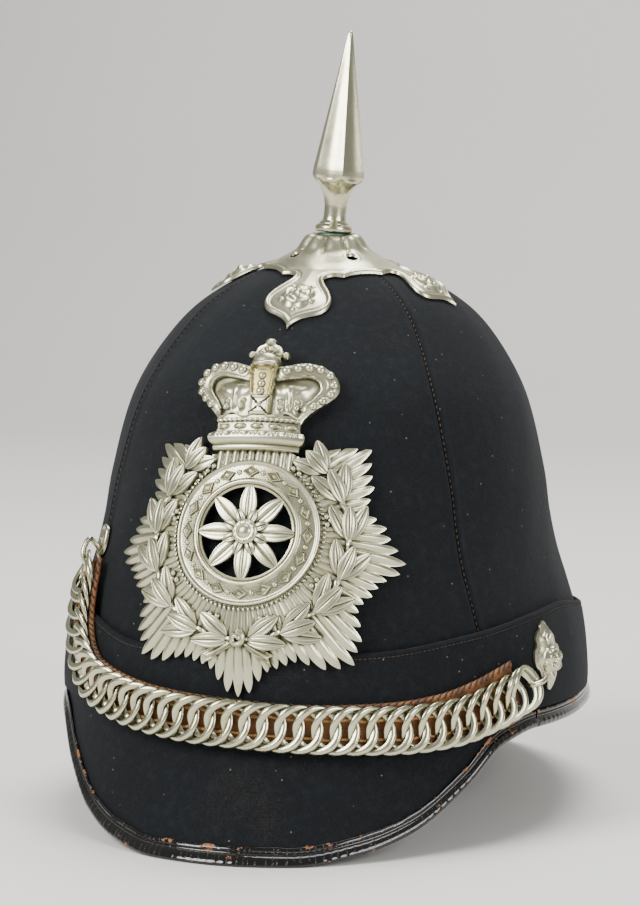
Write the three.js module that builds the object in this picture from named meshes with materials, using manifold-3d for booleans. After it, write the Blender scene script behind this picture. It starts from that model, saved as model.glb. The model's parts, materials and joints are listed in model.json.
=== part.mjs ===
// A home service helmet: a tall cork helmet covered in blue-black cloth, with a front and a rear peak
// bound in patent leather, a fluted spike on a four-armed crosspiece, a star plate and a chin chain.
// Millimetres, +Z up. The helmet faces -Y and the wearer's left is +X. It stands on z = 0, on the
// lowest stretch of its two bindings. The shapes are worked out about the upright line through the
// middle of the crown, and the whole is then moved so that the origin is the middle of its footprint.
import * as THREE from "three";
import { mergeVertices } from "three/addons/utils/BufferGeometryUtils.js";
import Module from "manifold-3d";

const wasm = await Module();
wasm.setup();

// ---- driving dimensions -------------------------------------------------------------------------

const GAP = 0.3;              // between a piece and what it lies on
const AROUND = 48;            // facets round the crown and its band
const SHELL_WALL = 4.0;       // cork with its cloth cover
const PEAK_WALL = 3.4;        // the peaks are pressed a little thinner
const BAND_CLEAR = 0.6;       // the band stands this far off the crown's cloth
const BAND_THICK = 1.4;       // folded cloth band round the foot of the crown
const BAND_FOOT = 46.5;       // height of the band's lower edge
const PEAK_TOP = 47.7;        // height where both peaks meet the crown
const EAR_ANGLE = 68;         // where the two peaks meet beside the ear, from the front
const FLARE_POWER = 1.6;      // how late a peak swings outward on its way down
const CLOTH_TO_STRAP = 2.3;   // from the cloth to the back of the chain's leather, over the band
const STRAP_THICK = 1.6;
const STRAP_WIDTH = 19.6;
const STRAP_RAISE = 0.6;      // the strap shows above the rings more than below them
const RING_RADIUS = 7.6;      // to the middle of the wire
const RING_WIDTH = 2.4;
const RING_THICK = 1.3;
const RING_TWIST = 1.8;       // how far each quarter of a ring stands above or below its middle
const RING_PITCH = 6.2;
const END_PITCH = 2.8;        // the first and the last ring stand this much further out
const CHAIN_ENDS = { right: -47.6, left: 61 };
const CHAIN_SOLIDS = 4;
const SPIKE_BASE = 221.8;     // height of the foot of the spike's ring

const CLOTH = { color: 0x15191e, roughness: 0.95, metalness: 0 };
const METAL = { color: 0xcfcdb8, roughness: 0.35, metalness: 1 };
const PATENT = { color: 0x0c0b0b, roughness: 0.25, metalness: 0 };
const LEATHER = { color: 0xa5673a, roughness: 0.8, metalness: 0 };

// The crown's level sections, from its foot to its top. Each is two half ovals on one centre line:
// side is half the width, front and rear are the reach from the centre, which sits behind x-axis zero.
const CROWN = [
  { height: 48, side: 100, front: 109, rear: 124, centre: 0 },
  { height: 70, side: 98, front: 108, rear: 124, centre: 0 },
  { height: 85, side: 93.5, front: 108.5, rear: 122, centre: 0.5 },
  { height: 99, side: 88.7, front: 107, rear: 119, centre: 1 },
  { height: 113, side: 85.5, front: 103.5, rear: 115.5, centre: 1.5 },
  { height: 131, side: 83, front: 98, rear: 109, centre: 2 },
  { height: 161, side: 75.5, front: 85.5, rear: 95.5, centre: 2.5 },
  { height: 185, side: 61.5, front: 62, rear: 75, centre: 3 },
  { height: 199, side: 46, front: 44.5, rear: 55, centre: 3 },
  { height: 208, side: 26, front: 25, rear: 30, centre: 3 },
  { height: 212, side: 0, front: 0, rear: 0, centre: 3 },
];

// The lower edge of the peaks, by angle from the front: its height, and how far it flares outward.
const EDGE = [
  { angle: 0, height: 1.8, flare: 20 },
  { angle: 12, height: 1.8, flare: 18 },
  { angle: 24, height: 5, flare: 12.5 },
  { angle: 34, height: 10.5, flare: 7.5 },
  { angle: 46, height: 23.5, flare: 3.2 },
  { angle: 57, height: 37.5, flare: 1 },
  { angle: 68, height: 41, flare: 0 },
  { angle: 90, height: 41, flare: 0 },
  { angle: 110, height: 41.5, flare: 1.5 },
  { angle: 125, height: 40.5, flare: 5 },
  { angle: 140, height: 33, flare: 11 },
  { angle: 152, height: 22, flare: 17.5 },
  { angle: 163, height: 8.5, flare: 23.5 },
  { angle: 172, height: 1.8, flare: 27 },
  { angle: 180, height: 1.8, flare: 28 },
];

// The band's upper edge rises towards the ears.
const BAND_HEAD = [
  { angle: 0, height: 69 },
  { angle: 30, height: 69.5 },
  { angle: 50, height: 72 },
  { angle: 70, height: 76 },
  { angle: 90, height: 78 },
  { angle: 120, height: 76 },
  { angle: 150, height: 72 },
  { angle: 180, height: 70 },
];

// The chain's middle line on the cloth, from its hook on the wearer's right, round the front, to the
// boss on the wearer's left. It hangs slack, lower on the left.
const CHAIN_LINE = [
  { angle: -50, height: 105 },
  { angle: -48.4, height: 97 },
  { angle: -47, height: 88 },
  { angle: -45.6, height: 79 },
  { angle: -43.8, height: 70 },
  { angle: -41, height: 62 },
  { angle: -36.5, height: 56 },
  { angle: -28, height: 51.6 },
  { angle: -17, height: 48.8 },
  { angle: 0, height: 46.8 },
  { angle: 18, height: 45.4 },
  { angle: 32, height: 45 },
  { angle: 42, height: 46.2 },
  { angle: 50, height: 49.2 },
  { angle: 57, height: 53 },
  { angle: 63, height: 56.4 },
  { angle: 72, height: 60.5 },
  { angle: 80, height: 64 },
];

// ---- helpers ------------------------------------------------------------------------------------

const radians = THREE.MathUtils.degToRad;
const point = (x, y, z) => new THREE.Vector3(x, y, z);

// Reads one column of a table at a value of its first column, with a smooth curve that never
// overshoots its rows.
function readTable(rows, by, column, value) {
  const last = rows.length - 1;
  if (value <= rows[0][by]) return rows[0][column];
  if (value >= rows[last][by]) return rows[last][column];
  let k = 0;
  while (rows[k + 1][by] < value) k += 1;
  const slope = (i) => (rows[i + 1][column] - rows[i][column]) / (rows[i + 1][by] - rows[i][by]);
  const steady = (i) => {
    if (i === 0 || i === last) return 0;
    const [before, after] = [slope(i - 1), slope(i)];
    return before * after <= 0 ? 0 : (2 * before * after) / (before + after);
  };
  const span = rows[k + 1][by] - rows[k][by];
  const t = (value - rows[k][by]) / span;
  const [t2, t3] = [t * t, t * t * t];
  return (2 * t3 - 3 * t2 + 1) * rows[k][column] + (t3 - 2 * t2 + t) * span * steady(k)
    + (3 * t2 - 2 * t3) * rows[k + 1][column] + (t3 - t2) * span * steady(k + 1);
}

// One section of the crown at a running row number: a smooth curve through the table, mirrored
// beyond the top so that the crown closes there without a point.
function crownSection(at) {
  const last = CROWN.length - 1;
  const row = (i) => {
    if (i < 0) return { ...CROWN[0], height: 2 * CROWN[0].height - CROWN[1].height };
    if (i <= last) return CROWN[i];
    const twin = CROWN[2 * last - i];
    return { ...twin, side: -twin.side, front: -twin.front, rear: -twin.rear };
  };
  const k = Math.min(Math.floor(at), last - 1);
  const t = at - k;
  const section = {};
  for (const column of Object.keys(CROWN[0])) {
    const [a, b, c, d] = [k - 1, k, k + 1, k + 2].map((i) => row(i)[column]);
    section[column] = 0.5 * (2 * b + (c - a) * t + (2 * a - 5 * b + 4 * c - d) * t * t
      + (3 * b - a - 3 * c + d) * t * t * t);
  }
  return section;
}

function ovalPoint(section, angle, outward = 0) {
  const [s, c] = [Math.sin(radians(angle)), Math.cos(radians(angle))];
  const reach = c > 0 ? section.front : section.rear;
  const out = ovalNormal(section, angle).multiplyScalar(outward);
  return point(section.side * s, section.centre - reach * c, section.height).add(out);
}

function ovalNormal(section, angle) {
  const [s, c] = [Math.sin(radians(angle)), Math.cos(radians(angle))];
  const reach = c > 0 ? section.front : section.rear;
  return point(s * reach, -c * section.side, 0).normalize();
}

function rowAtHeight(height) {
  let [low, high] = [0, CROWN.length - 1];
  for (let i = 0; i < 40; i += 1) {
    const middle = (low + high) / 2;
    if (crownSection(middle).height < height) low = middle;
    else high = middle;
  }
  return (low + high) / 2;
}

// The height of the crown's cloth over a place near its top.
function crownHeight(x, y) {
  let [low, high] = [0, CROWN.length - 1];
  for (let i = 0; i < 40; i += 1) {
    const middle = (low + high) / 2;
    const section = crownSection(middle);
    const reach = y < section.centre ? section.front : section.rear;
    const inside = Math.hypot(x / section.side, (y - section.centre) / reach) < 1;
    if (inside) low = middle;
    else high = middle;
  }
  return crownSection((low + high) / 2).height;
}

function crownNormal(at, angle) {
  const step = 0.01;
  const along = ovalPoint(crownSection(at), angle + 1).sub(ovalPoint(crownSection(at), angle - 1));
  const up = ovalPoint(crownSection(at + step), angle).sub(ovalPoint(crownSection(at - step), angle));
  return along.cross(up).normalize();
}

const away = (angle) => Math.abs(((angle + 540) % 360) - 180);
const edgeHeight = (angle) => readTable(EDGE, "angle", "height", away(angle));
const edgeFlare = (angle) => readTable(EDGE, "angle", "flare", away(angle));

// A point of a peak's outer face, by its height; outward moves it level, off the face.
function peakPoint(angle, height, outward = 0) {
  const down = Math.max(0, (PEAK_TOP - height) / (PEAK_TOP - edgeHeight(angle)));
  const flare = edgeFlare(angle) * down ** FLARE_POWER;
  const foot = ovalPoint(CROWN[0], angle, flare + outward);
  return foot.setZ(height);
}

// The cloth at any height below the crown's rounded top, raised level off the surface.
function clothPoint(angle, height, outward = 0) {
  if (height < PEAK_TOP) return peakPoint(angle, height, outward);
  const section = crownSection(rowAtHeight(Math.max(height, CROWN[0].height)));
  return ovalPoint(section, angle, outward).setZ(height);
}

function solidFrom(vertices, triangles) {
  const geometry = new THREE.BufferGeometry();
  const flat = vertices.flatMap((v) => [v.x, v.y, v.z]);
  geometry.setAttribute("position", new THREE.Float32BufferAttribute(flat, 3));
  geometry.setIndex(triangles.flat());
  const merged = mergeVertices(geometry, 1e-4);
  const index = merged.index.array;
  const kept = [];
  for (let i = 0; i < index.length; i += 3) {
    const [a, b, c] = [index[i], index[i + 1], index[i + 2]];
    if (a !== b && b !== c && c !== a) kept.push(a, b, c);
  }
  merged.setIndex(kept);
  return merged;
}

// Joins rows of points, each a closed loop of one length, into a skin. A closed sweep joins its last
// row to its first; an open one gets a flat cover at each end.
function sweep(loops, closed) {
  const count = loops[0].length;
  const triangles = [];
  const spans = closed ? loops.length : loops.length - 1;
  for (let i = 0; i < spans; i += 1) {
    const [here, next] = [i * count, ((i + 1) % loops.length) * count];
    for (let j = 0; j < count; j += 1) {
      const k = (j + 1) % count;
      triangles.push([here + j, here + k, next + k], [here + j, next + k, next + j]);
    }
  }
  if (!closed) {
    const end = (loops.length - 1) * count;
    for (const [a, b, c] of coverOf(loops[0])) triangles.push([a, c, b]);
    for (const [a, b, c] of coverOf(loops[loops.length - 1])) triangles.push([end + a, end + b, end + c]);
  }
  return facingOut(solidFrom(loops.flat(), triangles));
}

// Cuts a flat loop, which may be hollow on one side, into triangles.
function coverOf(loop) {
  const middle = loop.reduce((sum, v) => sum.add(v), point(0, 0, 0)).divideScalar(loop.length);
  const normal = loop.reduce((sum, v, i) => {
    const next = loop[(i + 1) % loop.length];
    return sum.add(v.clone().sub(middle).cross(next.clone().sub(middle)));
  }, point(0, 0, 0)).normalize();
  const across = loop[1].clone().sub(loop[0]).normalize();
  const up = normal.clone().cross(across);
  const flat = loop.map((v) => new THREE.Vector2(v.dot(across), v.dot(up)));
  return THREE.ShapeUtils.triangulateShape(flat, []);
}

function volumeOf(geometry) {
  const place = geometry.attributes.position;
  const index = geometry.index.array;
  const corner = (i) => point(0, 0, 0).fromBufferAttribute(place, index[i]);
  let six = 0;
  for (let i = 0; i < index.length; i += 3) six += corner(i).dot(corner(i + 1).cross(corner(i + 2)));
  return six / 6;
}

function facingOut(geometry) {
  if (volumeOf(geometry) > 0) return geometry;
  const index = geometry.index.array;
  for (let i = 0; i < index.length; i += 3) [index[i], index[i + 1]] = [index[i + 1], index[i]];
  return geometry;
}

function toManifold(geometry) {
  const bare = geometry.clone();
  bare.deleteAttribute("normal");
  bare.deleteAttribute("uv");
  const merged = mergeVertices(bare, 1e-4);
  const vertProperties = new Float32Array(merged.attributes.position.array);
  const triVerts = new Uint32Array(merged.index.array);
  return new wasm.Manifold(new wasm.Mesh({ numProp: 3, vertProperties, triVerts }));
}

function toGeometry(manifold) {
  const mesh = manifold.getMesh();
  const geometry = new THREE.BufferGeometry();
  const places = new Float32Array(mesh.vertProperties);
  geometry.setAttribute("position", new THREE.BufferAttribute(places, 3));
  geometry.setIndex(Array.from(mesh.triVerts));
  return geometry;
}

const joined = (parts) => toGeometry(parts.map(toManifold).reduce((sum, part) => sum.add(part)));

// A round bar through a list of points.
function bar(places, radius, sides = 8, steps = 12) {
  const circle = new THREE.Shape();
  circle.absarc(0, 0, radius, 0, 2 * Math.PI);
  const path = new THREE.CatmullRomCurve3(places);
  const settings = { steps, curveSegments: sides / 2, extrudePath: path, bevelEnabled: false };
  return new THREE.ExtrudeGeometry(circle, settings);
}

const helmet = new THREE.Group();

function addPiece(name, geometry, finish, group = helmet) {
  const mesh = new THREE.Mesh(geometry, new THREE.MeshStandardMaterial(finish));
  mesh.name = name;
  group.add(mesh);
  return mesh;
}

const steps = (from, to, count) => Array.from({ length: count + 1 }, (_, i) => from + (to - from) * i / count);

// ---- the crown and its band ---------------------------------------------------------------------

function crownShell() {
  const top = CROWN.length - 1;
  const outerRows = [0, 1, 2, 3, 4, 5, 6, 6.5, 7, 7.6, 8.3, 9.2];
  const innerRows = outerRows.slice(0, -1);
  const apex = ovalPoint(crownSection(top), 0);
  const ceiling = apex.clone().setZ(apex.z - SHELL_WALL);
  const inside = (at, angle) => {
    const wall = crownNormal(at, angle).multiplyScalar(-SHELL_WALL);
    const place = ovalPoint(crownSection(at), angle).add(wall);
    return at === 0 ? place.setZ(CROWN[0].height) : place;
  };
  const loops = steps(0, 360, AROUND).slice(0, -1).map((angle) => [
    ...outerRows.map((at) => ovalPoint(crownSection(at), angle)),
    apex,
    ceiling,
    ...innerRows.toReversed().map((at) => inside(at, angle)),
  ]);
  return sweep(loops, true);
}

function clothBand() {
  const [inner, outer] = [BAND_CLEAR, BAND_CLEAR + BAND_THICK];
  const loops = steps(0, 360, AROUND).slice(0, -1).map((angle) => {
    const head = readTable(BAND_HEAD, "angle", "height", away(angle));
    const bend = Math.min(head - 1, CROWN[1].height);
    const heights = [BAND_FOOT, (BAND_FOOT + bend) / 2, bend, head];
    return [
      ...heights.map((height) => clothPoint(angle, height, outer)),
      ...heights.toReversed().map((height) => clothPoint(angle, height, inner)),
    ];
  });
  return sweep(loops, true);
}

addPiece("crown_shell", crownShell(), CLOTH);
addPiece("cloth_band", clothBand(), CLOTH);

// ---- the peaks and their bindings ---------------------------------------------------------------

const BINDING_TALL = 4.4;     // how far a binding reaches up the outside of its peak

function peak(angles) {
  const loops = angles.map((angle) => {
    const edge = edgeHeight(angle);
    const free = PEAK_TOP - edge - BINDING_TALL;
    const heights = [...[0, 0.2, 0.6, 1].map((part) => PEAK_TOP - free * part), edge];
    return [
      ...heights.map((height) => peakPoint(angle, height)),
      ...heights.toReversed().map((height) => peakPoint(angle, height, -PEAK_WALL)),
    ];
  });
  return sweep(loops, false);
}

// The binding's section: how far outside the peak's outer face, and how far above its edge.
const BINDING_SECTION = [
  { outward: GAP, above: BINDING_TALL },
  { outward: GAP, above: -GAP },
  { outward: -PEAK_WALL - GAP, above: -GAP },
  { outward: -PEAK_WALL - GAP, above: 3.8 },
  { outward: -PEAK_WALL - 1.4, above: 3.8 },
  { outward: -PEAK_WALL - 1.6, above: -0.8 },
  { outward: -PEAK_WALL - 1.0, above: -1.8 },
  { outward: 1.0, above: -1.8 },
  { outward: 1.9, above: -0.8 },
  { outward: 1.5, above: BINDING_TALL },
];

function binding(angles) {
  const loops = angles.map((angle) => BINDING_SECTION.map(({ outward, above }) => (
    peakPoint(angle, edgeHeight(angle) + above, outward))));
  return sweep(loops, false);
}

const EAR_GAP = 0.4;
const frontAngles = [
  ...steps(-EAR_ANGLE + EAR_GAP, -12, 12),
  0,
  ...steps(12, EAR_ANGLE - EAR_GAP, 12),
];
const rearAngles = [
  ...steps(EAR_ANGLE + EAR_GAP, 172, 18),
  180,
  ...steps(188, 360 - EAR_ANGLE - EAR_GAP, 18),
];

addPiece("front_peak", peak(frontAngles), CLOTH);
addPiece("rear_peak", peak(rearAngles), CLOTH);
addPiece("front_binding", binding(frontAngles), PATENT);
addPiece("rear_binding", binding(rearAngles), PATENT);

// ---- the crosspiece and the spike ---------------------------------------------------------------

// The crosspiece and the spike sit a little forward of the crown's middle, turned and leaning slightly
// towards the wearer's left.
const CROSS = { x: 3, y: -6, turn: -2, thick: 1.2, clear: 0.8 };
const SPIKE_LEAN = 4.6;

// Half of one arm's outline: along the arm from the middle of the crosspiece, and half its width.
const ARM = [
  { along: 55, half: 0 },
  { along: 50, half: 3.8 },
  { along: 46.5, half: 11 },
  { along: 42, half: 13.5 },
  { along: 36, half: 11.5 },
  { along: 29, half: 6.2 },
  { along: 17.5, half: 17.5 },
];

// How much longer each arm is beyond its neck: front, left, rear and right of the wearer.
const ARM_NECK = 24.5;
const ARM_STRETCH = [0.13, -0.03, 0, 0];

// The raised middle: how high its top face stands above the cloth at each radius.
const DOME_LIFT = [
  { radius: 0, lift: 9.95 },
  { radius: 7, lift: 9.95 },
  { radius: 9.5, lift: 9.5 },
  { radius: 12, lift: 7.3 },
  { radius: 15, lift: 5 },
  { radius: 19, lift: 3.2 },
  { radius: 24, lift: 1.9 },
  { radius: 60, lift: 1.7 },
];

const VENT = { radius: 16.4, wide: 2.4, tall: 1.9 };

function crosspieceOutline() {
  const outline = [];
  for (let arm = 0; arm < 4; arm += 1) {
    const along = (row) => row.along + Math.max(row.along - ARM_NECK, 0) * ARM_STRETCH[arm];
    const turned = (row, side) => new THREE.Vector2(side * row.half, -along(row))
      .rotateAround(new THREE.Vector2(), radians(90 * arm + CROSS.turn));
    outline.push(...ARM.slice(1, -1).toReversed().map((row) => turned(row, -1)));
    outline.push(turned(ARM[0], 1));
    outline.push(...ARM.slice(1).map((row) => turned(row, 1)));
  }
  return outline;
}

// Lays a place of the flat crosspiece on the rounded crown.
function crossPoint(flat, below) {
  const radius = flat.length();
  const shortened = 1 - 0.000027 * radius * radius;
  const [x, y] = [CROSS.x + flat.x * shortened, CROSS.y + flat.y * shortened];
  const lift = readTable(DOME_LIFT, "radius", "lift", radius);
  return point(x, y, crownHeight(x, y) + Math.max(lift - below, CROSS.clear));
}

function crosspiece() {
  const outline = crosspieceOutline();
  const rings = [9.3, 13, 19];
  const circle = (radius) => outline.map((p) => p.clone().setLength(radius));
  const between = (part) => outline.map((p) => p.clone().setLength(
    rings.at(-1) + (p.length() - rings.at(-1)) * part));
  const levels = [circle(0.001), ...rings.map(circle), between(0.5), outline];
  const middle = new THREE.Vector2();
  const loops = outline.map((_, i) => [
    crossPoint(middle, 0),
    ...levels.slice(1).map((level) => crossPoint(level[i], 0)),
    ...levels.slice(1).toReversed().map((level) => crossPoint(level[i], CROSS.thick)),
    crossPoint(middle, CROSS.thick),
  ]);
  let metal = toManifold(sweep(loops, true));
  for (let i = 0; i < 4; i += 1) {
    const hole = new THREE.CylinderGeometry(1, 1, 30, 12);
    hole.rotateX(Math.PI / 2);
    hole.scale(VENT.wide, VENT.tall, 1);
    hole.rotateZ(radians(90 * i + CROSS.turn + 45));
    const place = new THREE.Vector2(0, -VENT.radius)
      .rotateAround(middle, radians(90 * i + CROSS.turn + 45));
    hole.translate(CROSS.x + place.x, CROSS.y + place.y, crownHeight(0, 0));
    metal = metal.subtract(toManifold(hole));
  }
  return toGeometry(metal);
}

// The spike from its ring upward: the radius at its ridges, and how deep its six flutes are cut.
const SPIKE = [
  { height: 0, radius: 7, flute: 0 },
  { height: 2.6, radius: 7.2, flute: 0 },
  { height: 3.6, radius: 6.2, flute: 0 },
  { height: 8.6, radius: 4.7, flute: 0.03 },
  { height: 14, radius: 6.1, flute: 0.1 },
  { height: 19, radius: 9.4, flute: 0.14 },
  { height: 23, radius: 10.6, flute: 0.16 },
  { height: 27, radius: 10.2, flute: 0.16 },
  { height: 46, radius: 6.6, flute: 0.15 },
  { height: 65, radius: 3.1, flute: 0.12 },
  { height: 76, radius: 1.3, flute: 0.05 },
  { height: 77.6, radius: 0.6, flute: 0 },
];
const SPIKE_FLUTES = 6;
const SPIKE_TURN = 25;

function spike() {
  const around = steps(0, 360, 2 * SPIKE_FLUTES).slice(0, -1);
  const loops = SPIKE.map(({ height, radius, flute }) => around.map((angle, i) => {
    const reach = radius * (1 - (i % 2) * flute);
    const direction = radians(angle + SPIKE_TURN - 90);
    return point(reach * Math.cos(direction), reach * Math.sin(direction), height);
  }));
  return sweep(loops, false);
}

addPiece("crosspiece", crosspiece(), METAL);
const spikeMesh = addPiece("spike", spike(), METAL);
spikeMesh.position.set(CROSS.x, CROSS.y, SPIKE_BASE);
spikeMesh.rotation.y = radians(SPIKE_LEAN);

// ---- the star plate and its circlet -------------------------------------------------------------

// The back of the plate along its own middle line, which clears the cloth, stands off it at the royal
// crown, and is bent round it to a radius that changes with the height.
const PLATE_LINE = [
  { height: 58.4, back: -111.6, bend: 92 },
  { height: 72, back: -111.4, bend: 90 },
  { height: 85, back: -109.8, bend: 86 },
  { height: 99, back: -107.4, bend: 81.4 },
  { height: 113, back: -103.4, bend: 78.6 },
  { height: 131, back: -97.3, bend: 75 },
  { height: 150, back: -89.6, bend: 73 },
  { height: 165, back: -82.6, bend: 72 },
  { height: 183, back: -74.4, bend: 72 },
];
const PLATE_THICK = 1.0;
const CIRCLET_ABOVE_FOOT = 56.4;  // from the foot of the plate's line to the middle of the circlet
const PLATE_SIDE = 1;           // the plate sits this far towards the wearer's left
const STAR = { below: 5, tips: [57.5, 52.5, 47.5, 44], notch: 2.6, points: 8, hole: 18.6, shorter: 5.2 };
const CIRCLET = { inner: 17.4, outer: 26, back: PLATE_THICK + GAP, front: 4.2 };

// The outline of the royal crown above the star: half its width at each height over the circlet.
const ROYAL_CROWN = [
  { above: 27.5, half: 15.6 },
  { above: 31.6, half: 15.8 },
  { above: 32.4, half: 17 },
  { above: 34.6, half: 17.8 },
  { above: 37.2, half: 16.8 },
  { above: 40, half: 15.4 },
  { above: 43.4, half: 15.8 },
  { above: 47, half: 19 },
  { above: 52.2, half: 24.4 },
  { above: 56.4, half: 26.4 },
  { above: 60.4, half: 24.6 },
  { above: 63.4, half: 20 },
  { above: 64.9, half: 15 },
  { above: 65.3, half: 5 },
  { above: 67.1, half: 2.6 },
  { above: 68, half: 5.8 },
  { above: 69.4, half: 6 },
  { above: 70.4, half: 2.6 },
  { above: 73.4, half: 1.9 },
  { above: 74.4, half: 0.8 },
];

const plateLine = new THREE.CatmullRomCurve3(
  PLATE_LINE.map((row) => point(0, row.back, row.height)), false, "centripetal");
const plateLength = plateLine.getLength();

// A place on the plate: across it, above the circlet's middle, and lifted off its back.
function platePoint(across, above, lift) {
  const along = (above + CIRCLET_ABOVE_FOOT) / plateLength;
  const inside = THREE.MathUtils.clamp(along, 0, 1);
  const tangent = plateLine.getTangentAt(inside);
  const middle = plateLine.getPointAt(inside).addScaledVector(tangent, (along - inside) * plateLength);
  const normal = point(0, -tangent.z, tangent.y);
  const bend = readTable(PLATE_LINE, "height", "bend", middle.z);
  const turn = across / bend;
  return middle
    .addScaledVector(normal, (bend + lift) * Math.cos(turn) - bend)
    .add(point(PLATE_SIDE + (bend + lift) * Math.sin(turn), 0, 0));
}

function starOutline() {
  const perPoint = 2 * (STAR.tips.length - 1);
  const count = STAR.points * perPoint;
  const tip = (i) => STAR.tips[Math.min(i % perPoint, perPoint - (i % perPoint))];
  const place = (radius, i) => {
    const angle = radians(360 * i / count);
    const reach = radius - STAR.shorter * Math.max(Math.cos(angle), 0) ** 8;
    return new THREE.Vector2(reach * Math.sin(angle), -STAR.below - reach * Math.cos(angle));
  };
  const outline = [];
  const underCrown = perPoint * 0.65;
  for (let i = 0; i < count; i += 1) {
    const fromTop = Math.abs(i - count / 2);
    if (fromTop > underCrown) {
      outline.push(place(tip(i), i));
      outline.push(place(Math.min(tip(i), tip(i + 1)) - STAR.notch, i + 0.5));
    } else if (fromTop % 2 === 0) {
      outline.push(place(36, i));
    }
  }
  return outline;
}

function royalCrown() {
  const [back, front] = [0.25, 1.9];
  const loops = ROYAL_CROWN.map(({ above, half }) => [
    ...[-1, -0.5, 0, 0.5, 1].map((part) => platePoint(part * half, above, front)),
    ...[1, 0.5, 0, -0.5, -1].map((part) => platePoint(part * half, above, back)),
  ]);
  return sweep(loops, false);
}

function starPlate() {
  const loops = starOutline().map((tip) => {
    const rim = tip.clone().setLength(STAR.hole);
    const between = tip.clone().lerp(rim, 0.5);
    return [
      platePoint(tip.x, tip.y, PLATE_THICK),
      platePoint(between.x, between.y, PLATE_THICK),
      platePoint(rim.x, rim.y, PLATE_THICK),
      platePoint(rim.x, rim.y, 0),
      platePoint(between.x, between.y, 0),
      platePoint(tip.x, tip.y, 0),
    ];
  });
  return joined([sweep(loops, true), royalCrown()]);
}

// The circlet: a raised ring round an openwork rosette of eight petals.
function circlet() {
  const { inner, outer, back, front } = CIRCLET;
  const section = [
    [outer, back], [outer, front - 0.5], [outer - 0.7, front],
    [inner + 0.7, front], [inner, front - 0.5], [inner, back],
  ];
  const around = steps(0, 360, 28).slice(0, -1);
  const ring = sweep(around.map((angle) => section.map(([radius, lift]) => platePoint(
    radius * Math.sin(radians(angle)), radius * Math.cos(radians(angle)), lift))), true);
  const petal = (turn) => {
    const rows = [[4, 1.1], [10.5, 3.1], [inner + 0.5, 0.9]];
    const [s, c] = [Math.sin(radians(turn)), Math.cos(radians(turn))];
    return sweep(rows.map(([radius, half]) => [
      [-half, 1.7], [half, 1.7], [half, 2.9], [-half, 2.9],
    ].map(([side, lift]) => platePoint(radius * s + side * c, radius * c - side * s, lift))), false);
  };
  const hub = sweep(steps(0, 360, 12).slice(0, -1).map((angle) => [
    [0, 1.5], [5.2, 1.5], [5.2, 2.7], [3.6, 3.7], [0, 4.1],
  ].map(([radius, lift]) => platePoint(
    radius * Math.sin(radians(angle)), radius * Math.cos(radians(angle)), lift))), true);
  return joined([ring, hub, ...steps(0, 315, 7).map(petal)]);
}

addPiece("star_plate", starPlate(), METAL);
addPiece("plate_circlet", circlet(), METAL);

// ---- the chin chain -----------------------------------------------------------------------------

// A place on the cloth reached by going some way along and up it, then lifted square off it.
function onCloth(angle, height, along, up, out) {
  const step = 0.5;
  const wide = clothPoint(angle + step, height).distanceTo(clothPoint(angle - step, height)) / (2 * step);
  const there = angle + along / wide;
  const rise = clothPoint(there, height + step).sub(clothPoint(there, height - step));
  const level = height + up * rise.z / rise.length();
  const around = clothPoint(there + step, level).sub(clothPoint(there - step, level));
  const upward = clothPoint(there, level + step).sub(clothPoint(there, level - step));
  const normal = around.cross(upward).normalize();
  return clothPoint(there, level).addScaledVector(normal, out);
}

// The chain's route, measured out in millimetres along the cloth.
const route = (() => {
  const [first, last] = [CHAIN_LINE[0], CHAIN_LINE.at(-1)];
  const marks = steps(first.angle, last.angle, 1200).map((angle) => ({
    angle,
    height: readTable(CHAIN_LINE, "angle", "height", angle),
    length: 0,
  }));
  for (let i = 1; i < marks.length; i += 1) {
    const [before, here] = [marks[i - 1], marks[i]];
    const gap = clothPoint(here.angle, here.height).distanceTo(clothPoint(before.angle, before.height));
    here.length = before.length + gap;
  }
  return marks;
})();

const routeLength = (angle) => route.find((mark) => mark.angle >= angle - 1e-6).length;

// A place beside the route: a length along it, a distance across it, and how far off the cloth.
function routePoint(length, across, out) {
  const after = Math.max(1, route.findIndex((mark) => mark.length >= length));
  const [a, b] = [route[after - 1], route[after]];
  const part = (length - a.length) / (b.length - a.length);
  const angle = a.angle + (b.angle - a.angle) * part;
  const height = a.height + (b.height - a.height) * part;
  const [from, to] = [route[Math.max(0, after - 6)], route[Math.min(route.length - 1, after + 5)]];
  const tangent = clothPoint(to.angle, to.height).sub(clothPoint(from.angle, from.height)).normalize();
  const around = clothPoint(angle + 0.5, height).sub(clothPoint(angle - 0.5, height)).normalize();
  return onCloth(angle, height, -across * tangent.z, across * tangent.dot(around), out);
}

const ringOut = CLOTH_TO_STRAP + STRAP_THICK + GAP + RING_TWIST + RING_THICK / 2;
const ringLengths = (() => {
  const [from, to] = [routeLength(CHAIN_ENDS.right), routeLength(CHAIN_ENDS.left)];
  const count = Math.round((to - from - 2 * END_PITCH) / RING_PITCH);
  const pitch = (to - from - 2 * END_PITCH) / count;
  return Array.from({ length: count + 1 }, (_, i) => (
    from + i * pitch + (i > 0 ? END_PITCH : 0) + (i === count ? END_PITCH : 0)));
})();

// One ring. Its upper rear and lower front quarters stand up, the other two lie down, so that each
// ring passes over its neighbours on one half and under them on the other.
function chainRing(middle) {
  const loops = steps(0, 360, 8).slice(0, -1).map((angle) => {
    const [s, c] = [Math.sin(radians(angle)), Math.cos(radians(angle))];
    const out = ringOut - RING_TWIST * Math.sin(2 * radians(angle));
    return [[-1, -1], [1, -1], [0, 1]].map(([side, up]) => {
      const radius = RING_RADIUS + side * RING_WIDTH / 2;
      return routePoint(middle + radius * c, radius * s, out + up * RING_THICK / 2);
    });
  });
  return sweep(loops, true);
}

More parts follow.
